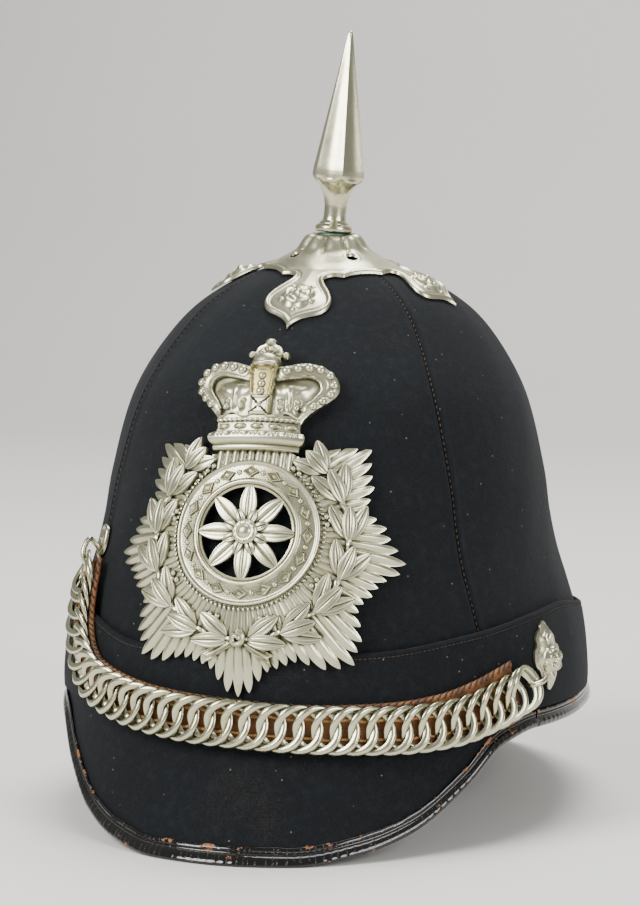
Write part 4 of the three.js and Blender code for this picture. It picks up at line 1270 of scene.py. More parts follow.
# %% [markdown]
# Thin lines of relief would be ragged on an even grid, so each is a fine bar laid on the crown: the
# line inside each arch, the rope edge, which is a twisted bar, and the scalloped line above it.

# %% Lay the fine lines
BAR_SIDES = 8


def bar(name, places, side, other, radius, sharp):
    """A round bar along places, from two directions square to it and a radius for every point of it."""
    a = circle(radius.shape[1])
    ring = side[:, None] * (np.cos(a) * radius)[..., None] + other[:, None] * (np.sin(a) * radius)[..., None]
    return closed_mesh(name, places[:, None] + ring, tube_faces(*radius.shape), sharp)


def bar_on_plate(name, rows, radius, twist=0.0, spacing=0.5):
    """A bar along a smooth line of (across, above, lift) on the plate, of one radius or one for each place."""
    line = smooth_line(rows, spacing)
    places = on_plate(*line.T)
    ahead = unit(np.gradient(places, axis=0))
    side = unit(np.cross(ahead, unit(on_plate(*(line + [0, 0, 1]).T) - places)))
    share = np.linspace(0, 1, len(line))
    radius = np.broadcast_to(radius(share) if callable(radius) else radius, len(line))[:, None]
    wave = np.cos(2 * circle(BAR_SIDES) + twist * np.arange(len(line))[:, None] * spacing)
    return bar(name, places, side, np.cross(side, ahead), radius * (1 + 0.22 * wave * (twist != 0)), 45)


def joined(name, meshes):
    """Several meshes as one."""
    work = bmesh.new()
    for mesh in meshes:
        work.from_mesh(mesh)
    whole = bpy.data.meshes.new(name)
    work.to_mesh(whole)
    work.free()
    for mesh in meshes:
        bpy.data.meshes.remove(mesh)
    return whole


def crown_lines():
    def line(name, across, above, lift, radius, **more):
        return bar_on_plate(name, np.stack([across, above, crown_body(across) + lift], axis=1), radius, **more)
    x, y = INNER_ARCH[::3].T
    rope, wave = np.linspace(-14.9, 14.9, 60), np.linspace(-14.6, 14.6, 90)
    return joined("crown_lines", [
        line("left_arch", -x, y, -0.1, 0.5), line("right_arch", x, y, -0.1, 0.5),
        line("rope", rope, 40.9 + 0.0008 * rope * rope, -0.1, 0.62, twist=3.6, spacing=0.25),
        line("scallops", wave, scallop_height(wave), 0.1, 0.36, spacing=0.3),
    ])


settle_metal(crown_lines())


def middle_arch():
    """The raised arch over the cross, which has tarnished to the colour of straw."""
    outline = resample([(-3.6, 50.3), (3.6, 50.3), (4.4, 60.4), (-4.4, 60.4)], 0.5)
    return struck_sheet("middle_arch", [outline], on_plate, lambda points: crown_relief(points) + 0.1, back=2.5)


settle_metal(middle_arch(), finish=TARNISHED)

# %% [markdown]
# ## The circlet
# A flat ring between two raised rims, turned on a lathe for its die. Its section is drawn once and
# carried round. The sunk ground between the rims is stippled with a punch, so that raised ornament
# stands out bright against it. The ornament is a plain border of lozenges and beads.

# %% Turn the circlet
CIRCLET_SECTION = [
    (26.0, 0.6), (26.0, 3.1), (26.05, 3.5), (25.8, 3.95), (25.35, 4.12), (24.9, 3.95), (24.6, 3.55),
    (24.3, 3.42), (24.0, 3.40), (19.6, 3.40), (19.35, 3.45), (19.1, 3.75), (18.75, 4.10), (18.3, 4.2),
    (17.85, 4.05), (17.5, 3.6), (17.4, 3.1), (17.4, 1.2), (20.0, 1.0), (24.0, 1.0),
]


def ring_on_plate(name, section, columns):
    angles = circle(columns)
    places = [on_plate(r * np.sin(angles), r * np.cos(angles), lift) for r, lift in section]
    return closed_mesh(name, places, grid_faces(len(section), columns, True, True), sharp=40)


settle_metal(ring_on_plate("circlet_ring", CIRCLET_SECTION, columns=200), "plate_circlet")


def lozenge(length=3.1, width=2.05, height=0.95):
    """A raised lozenge with a sunk line inside its edge, X along its length."""
    rings = [(1.0, -0.3), (0.97, height * 0.8), (0.86, height), (0.74, height * 0.5), (0.6, height * 0.4),
             (0.34, height * 0.9), (0.12, height * 1.3)]
    corners = [(1, 0), (0.5, 0.5), (0, 1), (-0.5, 0.5), (-1, 0), (-0.5, -0.5), (0, -1), (0.5, -0.5)]
    vertices = [(length * s * x, width * s * y, z) for s, z in rings for x, y in corners]
    return part_mesh("lozenge", vertices, tube_faces(len(rings), len(corners)), sharp=30)


def around_circlet(radius, angles):
    a = np.radians(angles)
    return np.stack([radius * np.sin(a), radius * np.cos(a)], axis=1)

# %% Dress its ground
LOZENGES, LOZENGE_RADIUS = 16, 21.8
GROUND_INNER, GROUND_OUTER, GRAINS, GOLDEN_TURN = 19.5, 24.1, 760, 137.508
DOT_RADIUS, DOT_TURN, DOTS_WITHIN = 27.4, 3.6, 151
lozenge_angles = np.arange(LOZENGES) * 360 / LOZENGES
lozenges_at = around_circlet(LOZENGE_RADIUS, lozenge_angles)
beads_at = around_circlet(LOZENGE_RADIUS, lozenge_angles + 180 / LOZENGES)
settle_metal(on_plate_scatter("circlet_lozenges", lozenge(), lozenges_at, lozenge_angles + 90, lifts=3.4))
settle_metal(on_plate_scatter("circlet_beads", bead(), beads_at, 0.0, lifts=3.35, sizes=1.05))


def stipple():
    """Punched grains over the sunk ground, in a plain spiral so that no two stand together."""
    k = np.arange(GRAINS)
    radius = np.sqrt(GROUND_INNER**2 + (GROUND_OUTER**2 - GROUND_INNER**2) * (k + 0.5) / GRAINS)
    points = around_circlet(radius, (k * GOLDEN_TURN) % 360)
    clear = np.linalg.norm(points[:, None] - lozenges_at, axis=2).min(axis=1) > 2.2
    grain = bead(rings=2, around=5)
    return on_plate_scatter("circlet_stipple", grain, points[clear], 0.0, lifts=3.37, sizes=0.34)


def on_star(places, lift):
    """The lift that puts something on the star's rays."""
    return star_base(np.hypot(places[:, 0], places[:, 1] + STAR_BELOW)) + lift


settle_metal(stipple())
dots = np.arange(0, 360, DOT_TURN)
dots_at = around_circlet(DOT_RADIUS, dots[np.abs(dots - 180) < DOTS_WITHIN])
dot = bead(rings=3, around=8)
settle_metal(on_plate_scatter("circlet_dots", dot, dots_at, 0.0, on_star(dots_at, 0.9), sizes=0.62))

# %% [markdown]
# ## Leaves
# The laurel leaf is one small grid: pointed at both ends, hollow along its midrib, with raised
# edges and a bulge along its length. The wreath sets it in groups of three, each group springing
# from where the last one opens. The openwork flower in the circlet uses the same leaf, broader.

# %% Shape a leaf


def leaf(length=15.0, width=5.6, bulge=0.8):
    """A leaf from its stalk at the origin along X, with Z outwards."""
    stations, half_sides = np.linspace(0, 1, 15), [0.1, 0.25, 0.48, 0.72, 0.84, 0.93, 1]
    sides = [-s for s in half_sides[::-1]] + [0] + half_sides
    front, behind = [], []
    for t in stations:
        half = width / 2 * (math.sin(math.pi * t**0.92) ** 0.70 if 0 < t < 1 else 0.0) + 0.03
        rise = bulge * math.sin(math.pi * t) + 0.25
        for s in sides:
            across = half * s
            rim = 0.34 * math.exp(-((abs(s) - 0.88) / 0.08) ** 2)
            dish = 0.42 * (1 - s * s)
            vein = -0.55 * math.exp(-(s / 0.10) ** 2) + 0.08 * math.exp(-((abs(s) - 0.25) / 0.1) ** 2)
            fade = math.sin(math.pi * min(max(t, 0.02), 0.98)) ** 0.5
            front.append((length * t, across, rise + (dish + rim + vein) * fade))
            behind.append((length * t, across, rise - 1.3))
    rows, columns = len(stations), len(sides)
    count = rows * columns
    faces = [list(f) for f in grid_faces(rows, columns)]
    faces += [[count + i for i in f[::-1]] for f in grid_faces(rows, columns)]
    number = np.arange(count).reshape(rows, columns)
    ring = [*number[0], *number[1:, -1], *number[-1, -2::-1], *number[-2:0:-1, 0]]
    faces += [[a, b, count + b, count + a] for a, b in zip(ring, ring[1:] + ring[:1])]
    return part_mesh("leaf", front + behind, faces, sharp=70)

# %% Lay the wreath
WREATH_GROUPS = table(
    "turn radius heading size",
    (4, 36.2, 90, 1.0), (24, 36.4, 68, 1.0), (46, 36.4, 43, 1.0), (69, 36.2, 19, 1.0), (92, 36.0, -4, 1.0),
    (115, 36.2, -28, 1.0), (134, 36.4, -48, 0.85),
)
LEAF_FAN = ((25, 0.98, 0.35, 0.6), (-27, 0.92, 0.2, 1.4), (0, 0.9, 0.9, 0.0))
FIRST_FAN = ((2, 0.98, 0.35, 0.6), (-38, 0.92, 0.2, 1.4))
WREATH_BELOW, WREATH_RADIUS = 2.0, 36.0
OUTER_BERRIES = ((5.6, 0), (7.0, 1.6), (7.2, -1.2))
INNER_BERRIES = ((-5.4, 0.5), (-6.6, 2.0), (-6.9, -0.8))


def mirrored_pair(places):
    return np.concatenate([places, np.array(places) * [-1, 1]])


def wreath_leaves():
    places, headings, lifts, sizes = [], [], [], []
    for k, row in enumerate(WREATH_GROUPS):
        a = math.radians(row["turn"])
        foot = np.array([row["radius"] * math.sin(a), -WREATH_BELOW - row["radius"] * math.cos(a)])
        for fan, reach, lift, shift in LEAF_FAN if k else FIRST_FAN:
            headings.append(row["heading"] + fan)
            b = math.radians(headings[-1])
            places.append(foot + shift * np.array([math.sin(b), math.cos(b)]))
            lifts.append(0.5 + lift)
            sizes.append((reach * row["size"], 1.0, 1.0))
    headings, places = np.array(headings), mirrored_pair(places)
    lifts = on_star(places, np.tile(lifts, 2))
    return on_plate_scatter("wreath_leaves", leaf(), places, np.concatenate([headings, -headings]), lifts,
                            np.tile(sizes, (2, 1)))


def wreath_berries():
    """Three berries in each gap, by turns outside and inside the stems."""
    places = []
    for k, row in enumerate(WREATH_GROUPS):
        a = math.radians(row["turn"] + 13)
        for out, along in OUTER_BERRIES if k % 2 else INNER_BERRIES:
            r = row["radius"] - 0.6 + out * 0.95
            b = a + along / r
            places.append((r * math.sin(b), -WREATH_BELOW - r * math.cos(b)))
    places = mirrored_pair(places)
    berry = bead(rings=4, around=9)
    return on_plate_scatter("wreath_berries", berry, places, 0.0, on_star(places, 1.25), sizes=1.05)


settle_metal(wreath_leaves())
settle_metal(wreath_berries())

# %% [markdown]
# The stems under the leaves are a twisted roll that follows the wreath, seen only between leaves.

# %% Stems and bow


def wreath_stems():
    made = []
    for side in (-1, 1):
        t = np.radians(np.linspace(2, 132, 30))
        x, y = WREATH_RADIUS * np.sin(t), WREATH_RADIUS * np.cos(t)
        rows = np.stack([side * x, -WREATH_BELOW - y, star_base(np.hypot(x, y)) + 0.9], axis=1)
        made.append(bar_on_plate("stem", rows, 1.0, twist=1.2 * side))
    return joined("wreath_stems", made)


settle_metal(wreath_stems())
BOW_ABOVE = -37.6


def ribbon_tail(side):
    """A flat ribbon with a raised fold along its middle and a cut end."""
    start, end = np.array([side * 1.6, BOW_ABOVE - 1.0]), np.array([side * 12.6, BOW_ABOVE - 7.0])
    along = (end - start) / np.linalg.norm(end - start)
    across = np.array([-along[1], along[0]])
    length = np.linalg.norm(end - start)
    outline = [start + across * 1.1, start - across * 1.1, end - across * 2.1 + along * 0.6,
               end - along * 1.8, end + across * 1.9 - along * 0.4]
    outline = resample(np.array(outline), 0.5)
    if side < 0:
        outline = outline[::-1]

    def relief(points):
        u, v = (points - start) @ along, (points - start) @ across
        half = 1.1 + 1.0 * u / length
        fold = np.cos(math.pi * 1.5 * v / half)
        edge = ridge(np.abs(np.abs(v) - half * 0.85), 0.35)
        return 3.0 + 0.5 * np.sin(u * 0.55) + 0.45 * fold + 0.35 * edge
    return struck_sheet("ribbon", [outline], on_plate, relief, back=1.6)


def bow_knot():
    t = np.linspace(0, 2.6 * math.pi, 30)
    radius = 2.35 - 0.62 * t / math.pi
    swirl = np.stack([radius * np.sin(t), BOW_ABOVE + radius * np.cos(t), 3.9 + 0.22 * t / math.pi], axis=1)
    return bar_on_plate("knot", swirl, lambda share: 1.25 - 0.3 * share)


settle_metal(joined("wreath_bow", [ribbon_tail(-1), ribbon_tail(1), bow_knot()]))

# %% [markdown]
# ## The openwork flower
# Eight broad leaves spring from a domed boss and are joined to the ring, with daylight between them.

# %% Pierce the flower
FLOWER_BOSS = [(0.05, 5.3), (1.2, 5.2), (2.1, 4.7), (2.5, 4.2), (2.8, 4.35), (3.6, 4.3), (4.3, 3.9), (4.6, 3.2),
               (4.6, 1.6), (0.05, 1.6)]
FLOWER_RIM = [(17.6, 2.0), (17.6, 2.9), (17.0, 3.2), (16.4, 2.9), (16.4, 2.0), (17.0, 1.8)]
PETALS, SEEDS = 8, 12


def flower_ring(name, part, count, radius, lift, turn=0.0, outwards=1.0, size=1.0):
    """Evenly spaced parts round the flower, that point outwards or all one way."""
    angles = np.arange(count) * (360 / count) + turn
    places = around_circlet(radius, angles)
    settle_metal(on_plate_scatter(name, part, places, angles * outwards, lift, size))


petal = leaf(length=15.0, width=6.4, bulge=0.55)
flower_ring("flower_petals", petal, PETALS, radius=3.2, lift=1.9)
sepal = leaf(length=6.4, width=3.4, bulge=0.5)
flower_ring("flower_sepals", sepal, PETALS, radius=2.6, lift=2.5, turn=180 / PETALS)
settle_metal(ring_on_plate("flower_boss", FLOWER_BOSS, columns=40))
seed = bead(rings=3, around=7)
flower_ring("flower_seeds", seed, SEEDS, radius=3.5, lift=4.25, outwards=0.0, size=0.5)
settle_metal(ring_on_plate("flower_rim", FLOWER_RIM, columns=120))

# %% [markdown]
# ## The crosspiece
# The crosspiece is one struck sheet laid on the top of the crown: a raised collar of eight lobes, four
# vent holes, and four arms that end in an ogee point round a rose. Its flat outline is one arm turned
# four times, the front one a little longer. The rim is doubled, so the height function reads how far
# each place is from the outline.

# %% Strike the crosspiece
CROSS_X, CROSS_Y, CROSS_TURN, CROSS_CLEAR = 3.0, -6.0, -2.0, 0.8
ARM_NECK = 24.5
ARM_STRETCH = (0.13, -0.03, 0.0, 0.0)
ARM = [(55, 0), (52.6, 1.1), (50.4, 3.2), (48.8, 6.0), (47.2, 9.6), (45.2, 12.2), (42.6, 13.5), (39.6, 13.3),
       (36.6, 11.6), (33.6, 9.0), (31.0, 7.0), (28.6, 6.1), (26.6, 6.9), (25.2, 9.0), (24.6, 12.6)]
ARM_FLARE = [(24.6, 12.6), (21.0, 15.0), (17.8, 17.8)]
DOME_LIFT = table(
    "radius lift",
    (0, 9.6), (6.0, 9.6), (7.6, 10.2), (9.3, 9.9), (11.0, 8.4), (13, 6.2), (15, 4.9), (19, 3.2), (24, 1.9),
    (60, 1.7),
)
VENT_RADIUS, VENT_WIDE, VENT_TALL = 16.4, 2.4, 1.9
ROSE_ALONG = 40.5


def turned(points, degrees):
    a, (x, y) = math.radians(degrees), np.asarray(points, dtype=float).T
    return np.stack([x * math.cos(a) - y * math.sin(a), x * math.sin(a) + y * math.cos(a)], axis=1)


def stretched(along, arm):
    return along + max(along - ARM_NECK, 0) * ARM_STRETCH[arm]


def cross_outline():
    outline = []
    for arm in range(4):
        half = np.concatenate([smooth_line([(half, -stretched(along, arm)) for along, half in part], 0.5)[skip:]
                               for part, skip in ((ARM, 0), (ARM_FLARE, 1))])
        outline.append(turned(np.concatenate([half[::-1][1:] * [-1, 1], half[1:]]), 90 * arm + CROSS_TURN))
    return np.concatenate(outline)


def on_cross(x, y, lift):
    """A place of the flat crosspiece laid on the crown, and lifted square off its raised middle."""
    radius = np.hypot(x, y)
    short = 1 - 0.000027 * radius**2
    there_x, there_y = CROSS_X + x * short, CROSS_Y + y * short
    ground = crown_height(there_x, there_y)
    slope_x = crown_height(there_x + 0.5, there_y) - crown_height(there_x - 0.5, there_y)
    slope_y = crown_height(there_x, there_y + 0.5) - crown_height(there_x, there_y - 0.5)
    steep = np.minimum(np.sqrt(1 + slope_x**2 + slope_y**2), 1.7)
    turn = np.arctan2(y, x) - math.radians(CROSS_TURN + 22.5)
    lobe = np.abs(np.cos(4 * turn)) ** 0.7
    wide = radius - (3.2 * lobe - 1.9) * mound(radius - 11.0, 5.0)
    base = read_table(DOME_LIFT, "lift", wide) + 1.0 * (lobe - 0.6) * mound(radius - 9.0, 2.4)
    return np.stack([there_x, there_y, ground + np.maximum(base + lift * steep, CROSS_CLEAR)], axis=-1)


def rose(points):
    """Five broad petals with turned edges round a boss, and a sepal's tip in each gap."""
    radius, turn = np.hypot(*points.T), np.arctan2(points[:, 1], points[:, 0]) - math.pi / 2
    petal = np.abs(np.cos(2.5 * turn)) ** 0.6
    edge = 5.6 + 1.5 * petal
    height = 1.3 * smooth_step(0, 1.6, edge - radius) * (0.45 + 0.55 * petal)
    height = height - 0.45 * mound(radius - 4.2, 1.3) * petal
    height = height + 1.3 * mound(radius, 1.9) - 0.25 * mound(radius - 2.6, 0.6)
    sepal = mound(radius - 7.0, 1.0) * smooth_step(0.9, 1.0, np.abs(np.sin(2.5 * turn)))
    return height + 0.7 * sepal


CROSS_OUTLINE = cross_outline()


def cross_relief(points):
    radius = np.hypot(*points.T)
    edge = far_from(CROSS_OUTLINE, points)
    outer = smooth_step(12, 22, radius)
    rim = 0.5 * mound(edge - 0.8, 0.95) - 0.32 * mound(edge - 2.2, 0.85)
    height = outer * rim + 0.3 * smooth_step(3, 8, edge) * outer
    for arm in range(4):
        turn = 90 * arm + CROSS_TURN
        near = turned(points - turned([(0, -stretched(ROSE_ALONG, arm))], turn), -turn)
        height = height + rose(near) * (np.hypot(*near.T) < 9)
        vent = np.linalg.norm(points - turned([(0, -VENT_RADIUS)], turn + 45), axis=1)
        height = height + 0.15 * mound(vent - 2.9, 0.7)
    return height


def crosspiece():
    loops, a = [resample(CROSS_OUTLINE, 0.5)], circle(24)
    hole = np.stack([VENT_WIDE * np.cos(a), VENT_TALL * np.sin(a) - VENT_RADIUS], axis=1)
    loops += [turned(hole, 90 * i + CROSS_TURN + 45) for i in range(4)]
    return struck_sheet("crosspiece_sheet", loops, on_cross, cross_relief, back=-0.9, cell=0.46, rough_back=4)


settle_metal(crosspiece(), "crosspiece")

# %% [markdown]
# ## The spike
# The spike is cast, then filed: a round ring, a waist, and six hollow-ground faces that meet in sharp
# ridges. So its section at any height is a circle whose radius falls between the ridges by a share
# that the table gives.

# %% Turn and flute the spike
SPIKE_BASE, SPIKE_LEAN, SPIKE_FLUTES, SPIKE_TURN = 221.8, 4.6, 6, 25
SPIKE = table(
    "height radius flute",
    (0, 6.3, 0), (0.35, 6.9, 0), (1.2, 7.2, 0), (2.1, 7.1, 0), (2.8, 6.5, 0), (3.2, 5.8, 0), (3.6, 5.7, 0.01),
    (4.6, 4.6, 0), (6.6, 4.35, 0), (9.5, 4.3, 0), (12, 4.6, 0), (14.4, 5.2, 0), (16.4, 6.2, 0), (18, 7.4, 0.01),
    (19.2, 8.8, 0.03), (20.0, 9.7, 0.10), (20.8, 10.4, 0.17), (21.8, 10.75, 0.195), (23.4, 10.7, 0.195),
    (28, 9.9, 0.195), (46, 6.6, 0.19), (65, 3.1, 0.17), (74, 1.5, 0.12), (76.6, 1.0, 0.04), (77.3, 0.65, 0),
    (77.6, 0.12, 0),
)
SPIKE_STEPS = ((0, 4, 16), (4, 18, 21), (18, 24, 25), (24, 75, 33), (75, 77.6, 11))
FACE_COLUMNS = 14


def spike():
    heights = [np.linspace(low, high, steps + 1)[:-1] for low, high, steps in SPIKE_STEPS]
    heights = np.concatenate([*heights, SPIKE["height"][-1:]])
    share = np.tile(np.linspace(0, 1, FACE_COLUMNS + 1)[:-1], SPIKE_FLUTES)
    face = np.repeat(np.arange(SPIKE_FLUTES), FACE_COLUMNS)
    a = np.radians((face + share) * 360 / SPIKE_FLUTES + SPIKE_TURN - 90)
    hollow = 1 - (2 * share - 1) ** 2
    radius = read_table(SPIKE, "radius", heights)[:, None]
    reach = radius * (1 - read_table(SPIKE, "flute", heights)[:, None] * hollow)
    x, y, z = reach * np.cos(a), reach * np.sin(a), np.broadcast_to(heights[:, None], reach.shape)
    lean = math.radians(SPIKE_LEAN)
    places = np.stack([CROSS_X + x * math.cos(lean) + z * math.sin(lean), CROSS_Y + y,
                       SPIKE_BASE - x * math.sin(lean) + z * math.cos(lean)], axis=-1)
    return closed_mesh("spike_casting", places, tube_faces(*reach.shape), sharp=22)


def washer():
    section = [(0.02, 219.6), (6.0, 219.6), (6.3, 220.2), (6.2, 221.0), (5.6, 221.75), (0.02, 221.8)]
    a = circle(48)
    places = [np.stack([CROSS_X + 0.1 + r * np.cos(a), CROSS_Y + r * np.sin(a), np.full(len(a), z)], axis=-1)
              for r, z in section]
    return closed_mesh("spike_washer", places, grid_faces(len(section), len(a), True, True), sharp=45)


settle_metal(spike(), "spike", finish=CAST)
settle_metal(washer(), finish=VERDIGRIS)

# %% [markdown]
# ## The chain's route
# The chin chain lies over the front of the helmet from a hook on the wearer's right to a boss on the
# left. Its middle line is a table of heights by angle, measured out in millimetres along the cloth, so
# that rings and stitches can be set at even distances.

# %% Measure the route
CHAIN_LINE = table(
    "angle height",
    (-51, 105), (-49.4, 97), (-48, 88), (-46.6, 79), (-44.6, 70), (-41.6, 62), (-37, 56), (-28, 51.6),
    (-17, 48.8), (0, 46.8), (18, 45.4), (32, 45), (42, 46.2), (50, 49.2), (57, 53), (63, 56.4), (72, 60.5),
    (80, 64),
)
ROUTE_ANGLES = np.linspace(CHAIN_LINE["angle"][0], CHAIN_LINE["angle"][-1], 1201)
ROUTE_HEIGHTS = read_table(CHAIN_LINE, "height", ROUTE_ANGLES)
ROUTE_PLACES = cloth_point(ROUTE_ANGLES, ROUTE_HEIGHTS)
ROUTE_FAR = far_along(ROUTE_PLACES)
CHAIN_RIGHT, CHAIN_LEFT = (float(np.interp(angle, ROUTE_ANGLES, ROUTE_FAR)) for angle in (-48.6, 61))
RING_RADIUS, RING_PITCH, END_PITCH, RING_TWIST, RING_OUT = 7.6, 6.2, 2.8, 1.35, 5.75


def route_point(far, across, out):
    """A place beside the chain's middle line: along it, across it upwards, and off the cloth."""
    far, across, out = as_arrays(far, across, out)
    angle, height = np.interp(far, ROUTE_FAR, ROUTE_ANGLES), np.interp(far, ROUTE_FAR, ROUTE_HEIGHTS)
    ends = [np.stack([np.interp(far + step, ROUTE_FAR, ROUTE_PLACES[:, k]) for k in range(3)], axis=-1)
            for step in (-1.2, 1.2)]
    ahead = unit(ends[1] - ends[0])
    around = unit(cloth_point(angle + 0.5, height) - cloth_point(angle - 0.5, height))
    level = (ahead * around).sum(axis=-1)
    return on_cloth(angle, height, -across * ahead[..., 2], across * level, out)


def ring_places():
    span = CHAIN_LEFT - CHAIN_RIGHT - 2 * END_PITCH
    count = round(span / RING_PITCH)
    inner = CHAIN_RIGHT + END_PITCH + span / count * np.arange(count + 1)
    return np.concatenate([[CHAIN_RIGHT], inner, [CHAIN_LEFT]])


RING_LENGTHS = ring_places()
print(len(RING_LENGTHS), "rings on", round(CHAIN_LEFT - CHAIN_RIGHT), "mm")

# %% [markdown]
# ## The rings
# Each ring is bevelled wire, bent round and closed, then twisted so that it lies flat while passing
# through its neighbours: opposite quarters stand above the others. All rings are alike, so one mesh
# goes on every place of the route.

# %% Set the rings


def ring_part():
    section = [(1.38, 0.0), (1.05, 0.58), (0.2, 0.98), (-0.75, 0.68), (-1.42, 0.06), (-1.1, -0.42), (0, -0.62),
               (1.0, -0.45)]
    angles = circle(32)
    places = [((RING_RADIUS + wide) * math.cos(a), (RING_RADIUS + wide) * math.sin(a),
               high - RING_TWIST * math.sin(2 * a)) for a in angles for wide, high in section]
    return part_mesh("ring", places, grid_faces(len(angles), len(section), True, True), sharp=75)


def set_rings():
    here = route_point(RING_LENGTHS, 0, RING_OUT)
    along = route_point(RING_LENGTHS + 2, 0, RING_OUT) - route_point(RING_LENGTHS - 2, 0, RING_OUT)
    up = route_point(RING_LENGTHS, 2, RING_OUT) - route_point(RING_LENGTHS, -2, RING_OUT)
    return scatter("chain_rings", ring_part(), here, along, up, CAST)


settle_metal(set_rings(), *(f"chin_chain_{k}" for k in range(1, 5)), finish=CAST)

# %% [markdown]
# ## The leather under the rings
# The rings are sewn to a strap of tan leather. Both its edges are rolled and whipped with dark
# thread, which pulls the roll into small lumps. Two waxed cords run along the strap under the rings.

# %% Cut and whip the strap
STRAP_HALF, WHIP_PITCH = 8.5, 2.9
STRAP_START, STRAP_END = RING_LENGTHS[0] - 5, RING_LENGTHS[-1] - 2
STRAP_EDGE = ((1.0, 2.35), (0.4, 2.5), (0.05, 2.85), (-0.1, 3.35), (0.05, 3.85), (0.4, 4.25), (1.0, 4.35),
              (1.6, 4.15), (2.2, 3.75), (2.9, 3.55))  # each how far inwards, and how far off the cloth


def strap_raise(far, side):
    """How far an edge of the strap stands up: most at the loose left end of the upper one."""
    share = (far - STRAP_START) / (STRAP_END - STRAP_START)
    return (0.1 + 2.8 * smooth_step(0.58, 0.98, share)) * (1 if side > 0 else 0.2)


def strap():
    lengths = np.arange(STRAP_START, STRAP_END, WHIP_PITCH / 4)
    rows = []
    for side, edge in ((1, STRAP_EDGE), (-1, STRAP_EDGE[::-1])):
        for inward, out in edge:
            lump = 0.22 * smooth_step(2.2, 0.8, inward) * np.cos(2 * math.pi * lengths / WHIP_PITCH)
            across = side * (STRAP_HALF - inward + lump * 0.5) + strap_raise(lengths, side)
            rows.append(route_point(lengths, across, out + lump * (out > 3)))
    return closed_mesh("strap_leather", np.stack(rows, axis=1), tube_faces(len(lengths), len(rows)), sharp=60)


def whip_stitches():
    made = []
    for side in (1, -1):
        far = np.arange(STRAP_START + WHIP_PITCH / 2, STRAP_END - 0.5, WHIP_PITCH)
        raised = strap_raise(far, side)
        here, above = (route_point(far, side * (STRAP_HALF - 0.55) + raised, out) for out in (4.22, 6.2))
        there = route_point(far + 1.1, side * (STRAP_HALF + 0.2) + raised, 3.75)
        square = np.cross(above - here, there - here)
        made.append(scatter("whip", capsule(length=2.6, radius=0.38), here, there - here, square, BLACK_THREAD))
    return joined("whip_stitches", made)


def bar_through(name, places, radius, sides):
    """A round bar along places in millimetres, that does not twist on its way."""
    places = np.asarray(places, dtype=float)
    ahead = unit(np.gradient(places, axis=0))
    side = [unit(np.cross(ahead[0], [0.13, 0.2, 1.0]))]
    for way in ahead[1:]:
        side.append(unit(side[-1] - way * (side[-1] @ way)))
    return bar(name, places, np.array(side), np.cross(ahead, side), np.full((len(places), sides), radius), 50)


def sewing_cords():
    far = np.arange(STRAP_START + 1, STRAP_END - 1, 1.2)
    lines = [route_point(far, across + 0.25 * np.sin(far / 2.1), 4.25) for across in (3.6, -3.6)]
    return joined("sewing_cords", [bar_through("cord", line, radius=0.55, sides=6) for line in lines])


settle(strap(), STRAP_LEATHER, "tan_leather", "chain_strap")
settle(whip_stitches(), BLACK_THREAD, "tan_leather")
settle(sewing_cords(), TAN_CORD, "tan_leather")

# %% [markdown]
# ## The boss and the hooks
# On the wearer's left the chain hangs from a struck boss, a leaf over a rose, with a stout hook
# below. On the right a plain hook holds it. The boss uses the same relief helper as the plate, laid
# on the cloth band instead.

# %% Strike the boss
BOSS_ANGLE, BOSS_HEIGHT, BOSS_OUT = 71.0, 65.0, 2.3
HOOK_ANGLE, HOOK_HEIGHT = -50.8, 104.5
BOSS_OUTLINE = smooth_line([
    (0.4, 12.6), (2.0, 11.6), (2.4, 9.8), (4.6, 8.6), (6.4, 6.6), (6.6, 4.4), (8.6, 3.0), (9.2, 0.2),
    (8.4, -2.8), (6.2, -4.8), (5.6, -7.2), (3.8, -9.6), (1.8, -11.4), (0.0, -12.4), (-1.8, -11.4),
    (-3.8, -9.4), (-5.2, -7.0), (-6.0, -4.8), (-8.0, -3.2), (-8.8, -0.4), (-8.2, 2.6), (-6.6, 4.2),
    (-6.6, 6.4), (-5.0, 8.8), (-2.4, 10.0), (-1.2, 11.8),
], closed=True)
HOOK_PLATE = smooth_line([(0, 6.5), (3.4, 5.2), (4.5, 1.5), (4.3, -2.5), (2.6, -5.6), (0, -6.5), (-2.6, -5.6),
                          (-4.3, -2.5), (-4.5, 1.5), (-3.4, 5.2)], 0.5, closed=True)


def boss_relief(points):
    x, y = points[:, 0], points[:, 1]
    edge = far_from(BOSS_OUTLINE, points)
    height = 1.0 + 1.3 * smooth_step(0, 4.5, edge)
    height = height + 0.45 * np.cos(7 * np.arctan2(x, y + 13)) * smooth_step(0.4, 2.0, edge)
    leaf_up = np.hypot(x / 4.2, (y - 6.4) / 6.0)
    veins = 0.35 * np.cos(2.6 * (np.abs(x) + 0.6 * y)) - 0.8 * ridge(np.abs(x), 0.45)
    height = np.maximum(height, 1.0 + 2.6 * mound(leaf_up, 1) + veins * (leaf_up < 0.9))
    leaf_down = np.hypot((x + 0.4) / 3.8, (y + 7.4) / 5.2)
    veins = 0.3 * np.cos(2.6 * (np.abs(x) - 0.6 * y))
    height = np.maximum(height, 1.0 + 2.2 * mound(leaf_down, 1) + veins * (leaf_down < 0.9))
    near = (points - [1.0, -1.2]) * 1.35
    radius = np.hypot(*near.T)
    flower = 2.4 * np.clip(1 - (radius / 8.4) ** 4, 0, 1) + rose(near) * 0.9
    height = np.where(radius < 8.2, np.maximum(height, 1.2 + flower), height)
    return height


def on_boss(x, y, lift):
    return on_cloth(BOSS_ANGLE, BOSS_HEIGHT, x, y, BOSS_OUT + lift)


HOOK_MARKS = ((5.5, 0.6), (0.4, 2.25), (-3.6, 0.9), (-4.2, -1.6))  # beyond the wire, and off the ring


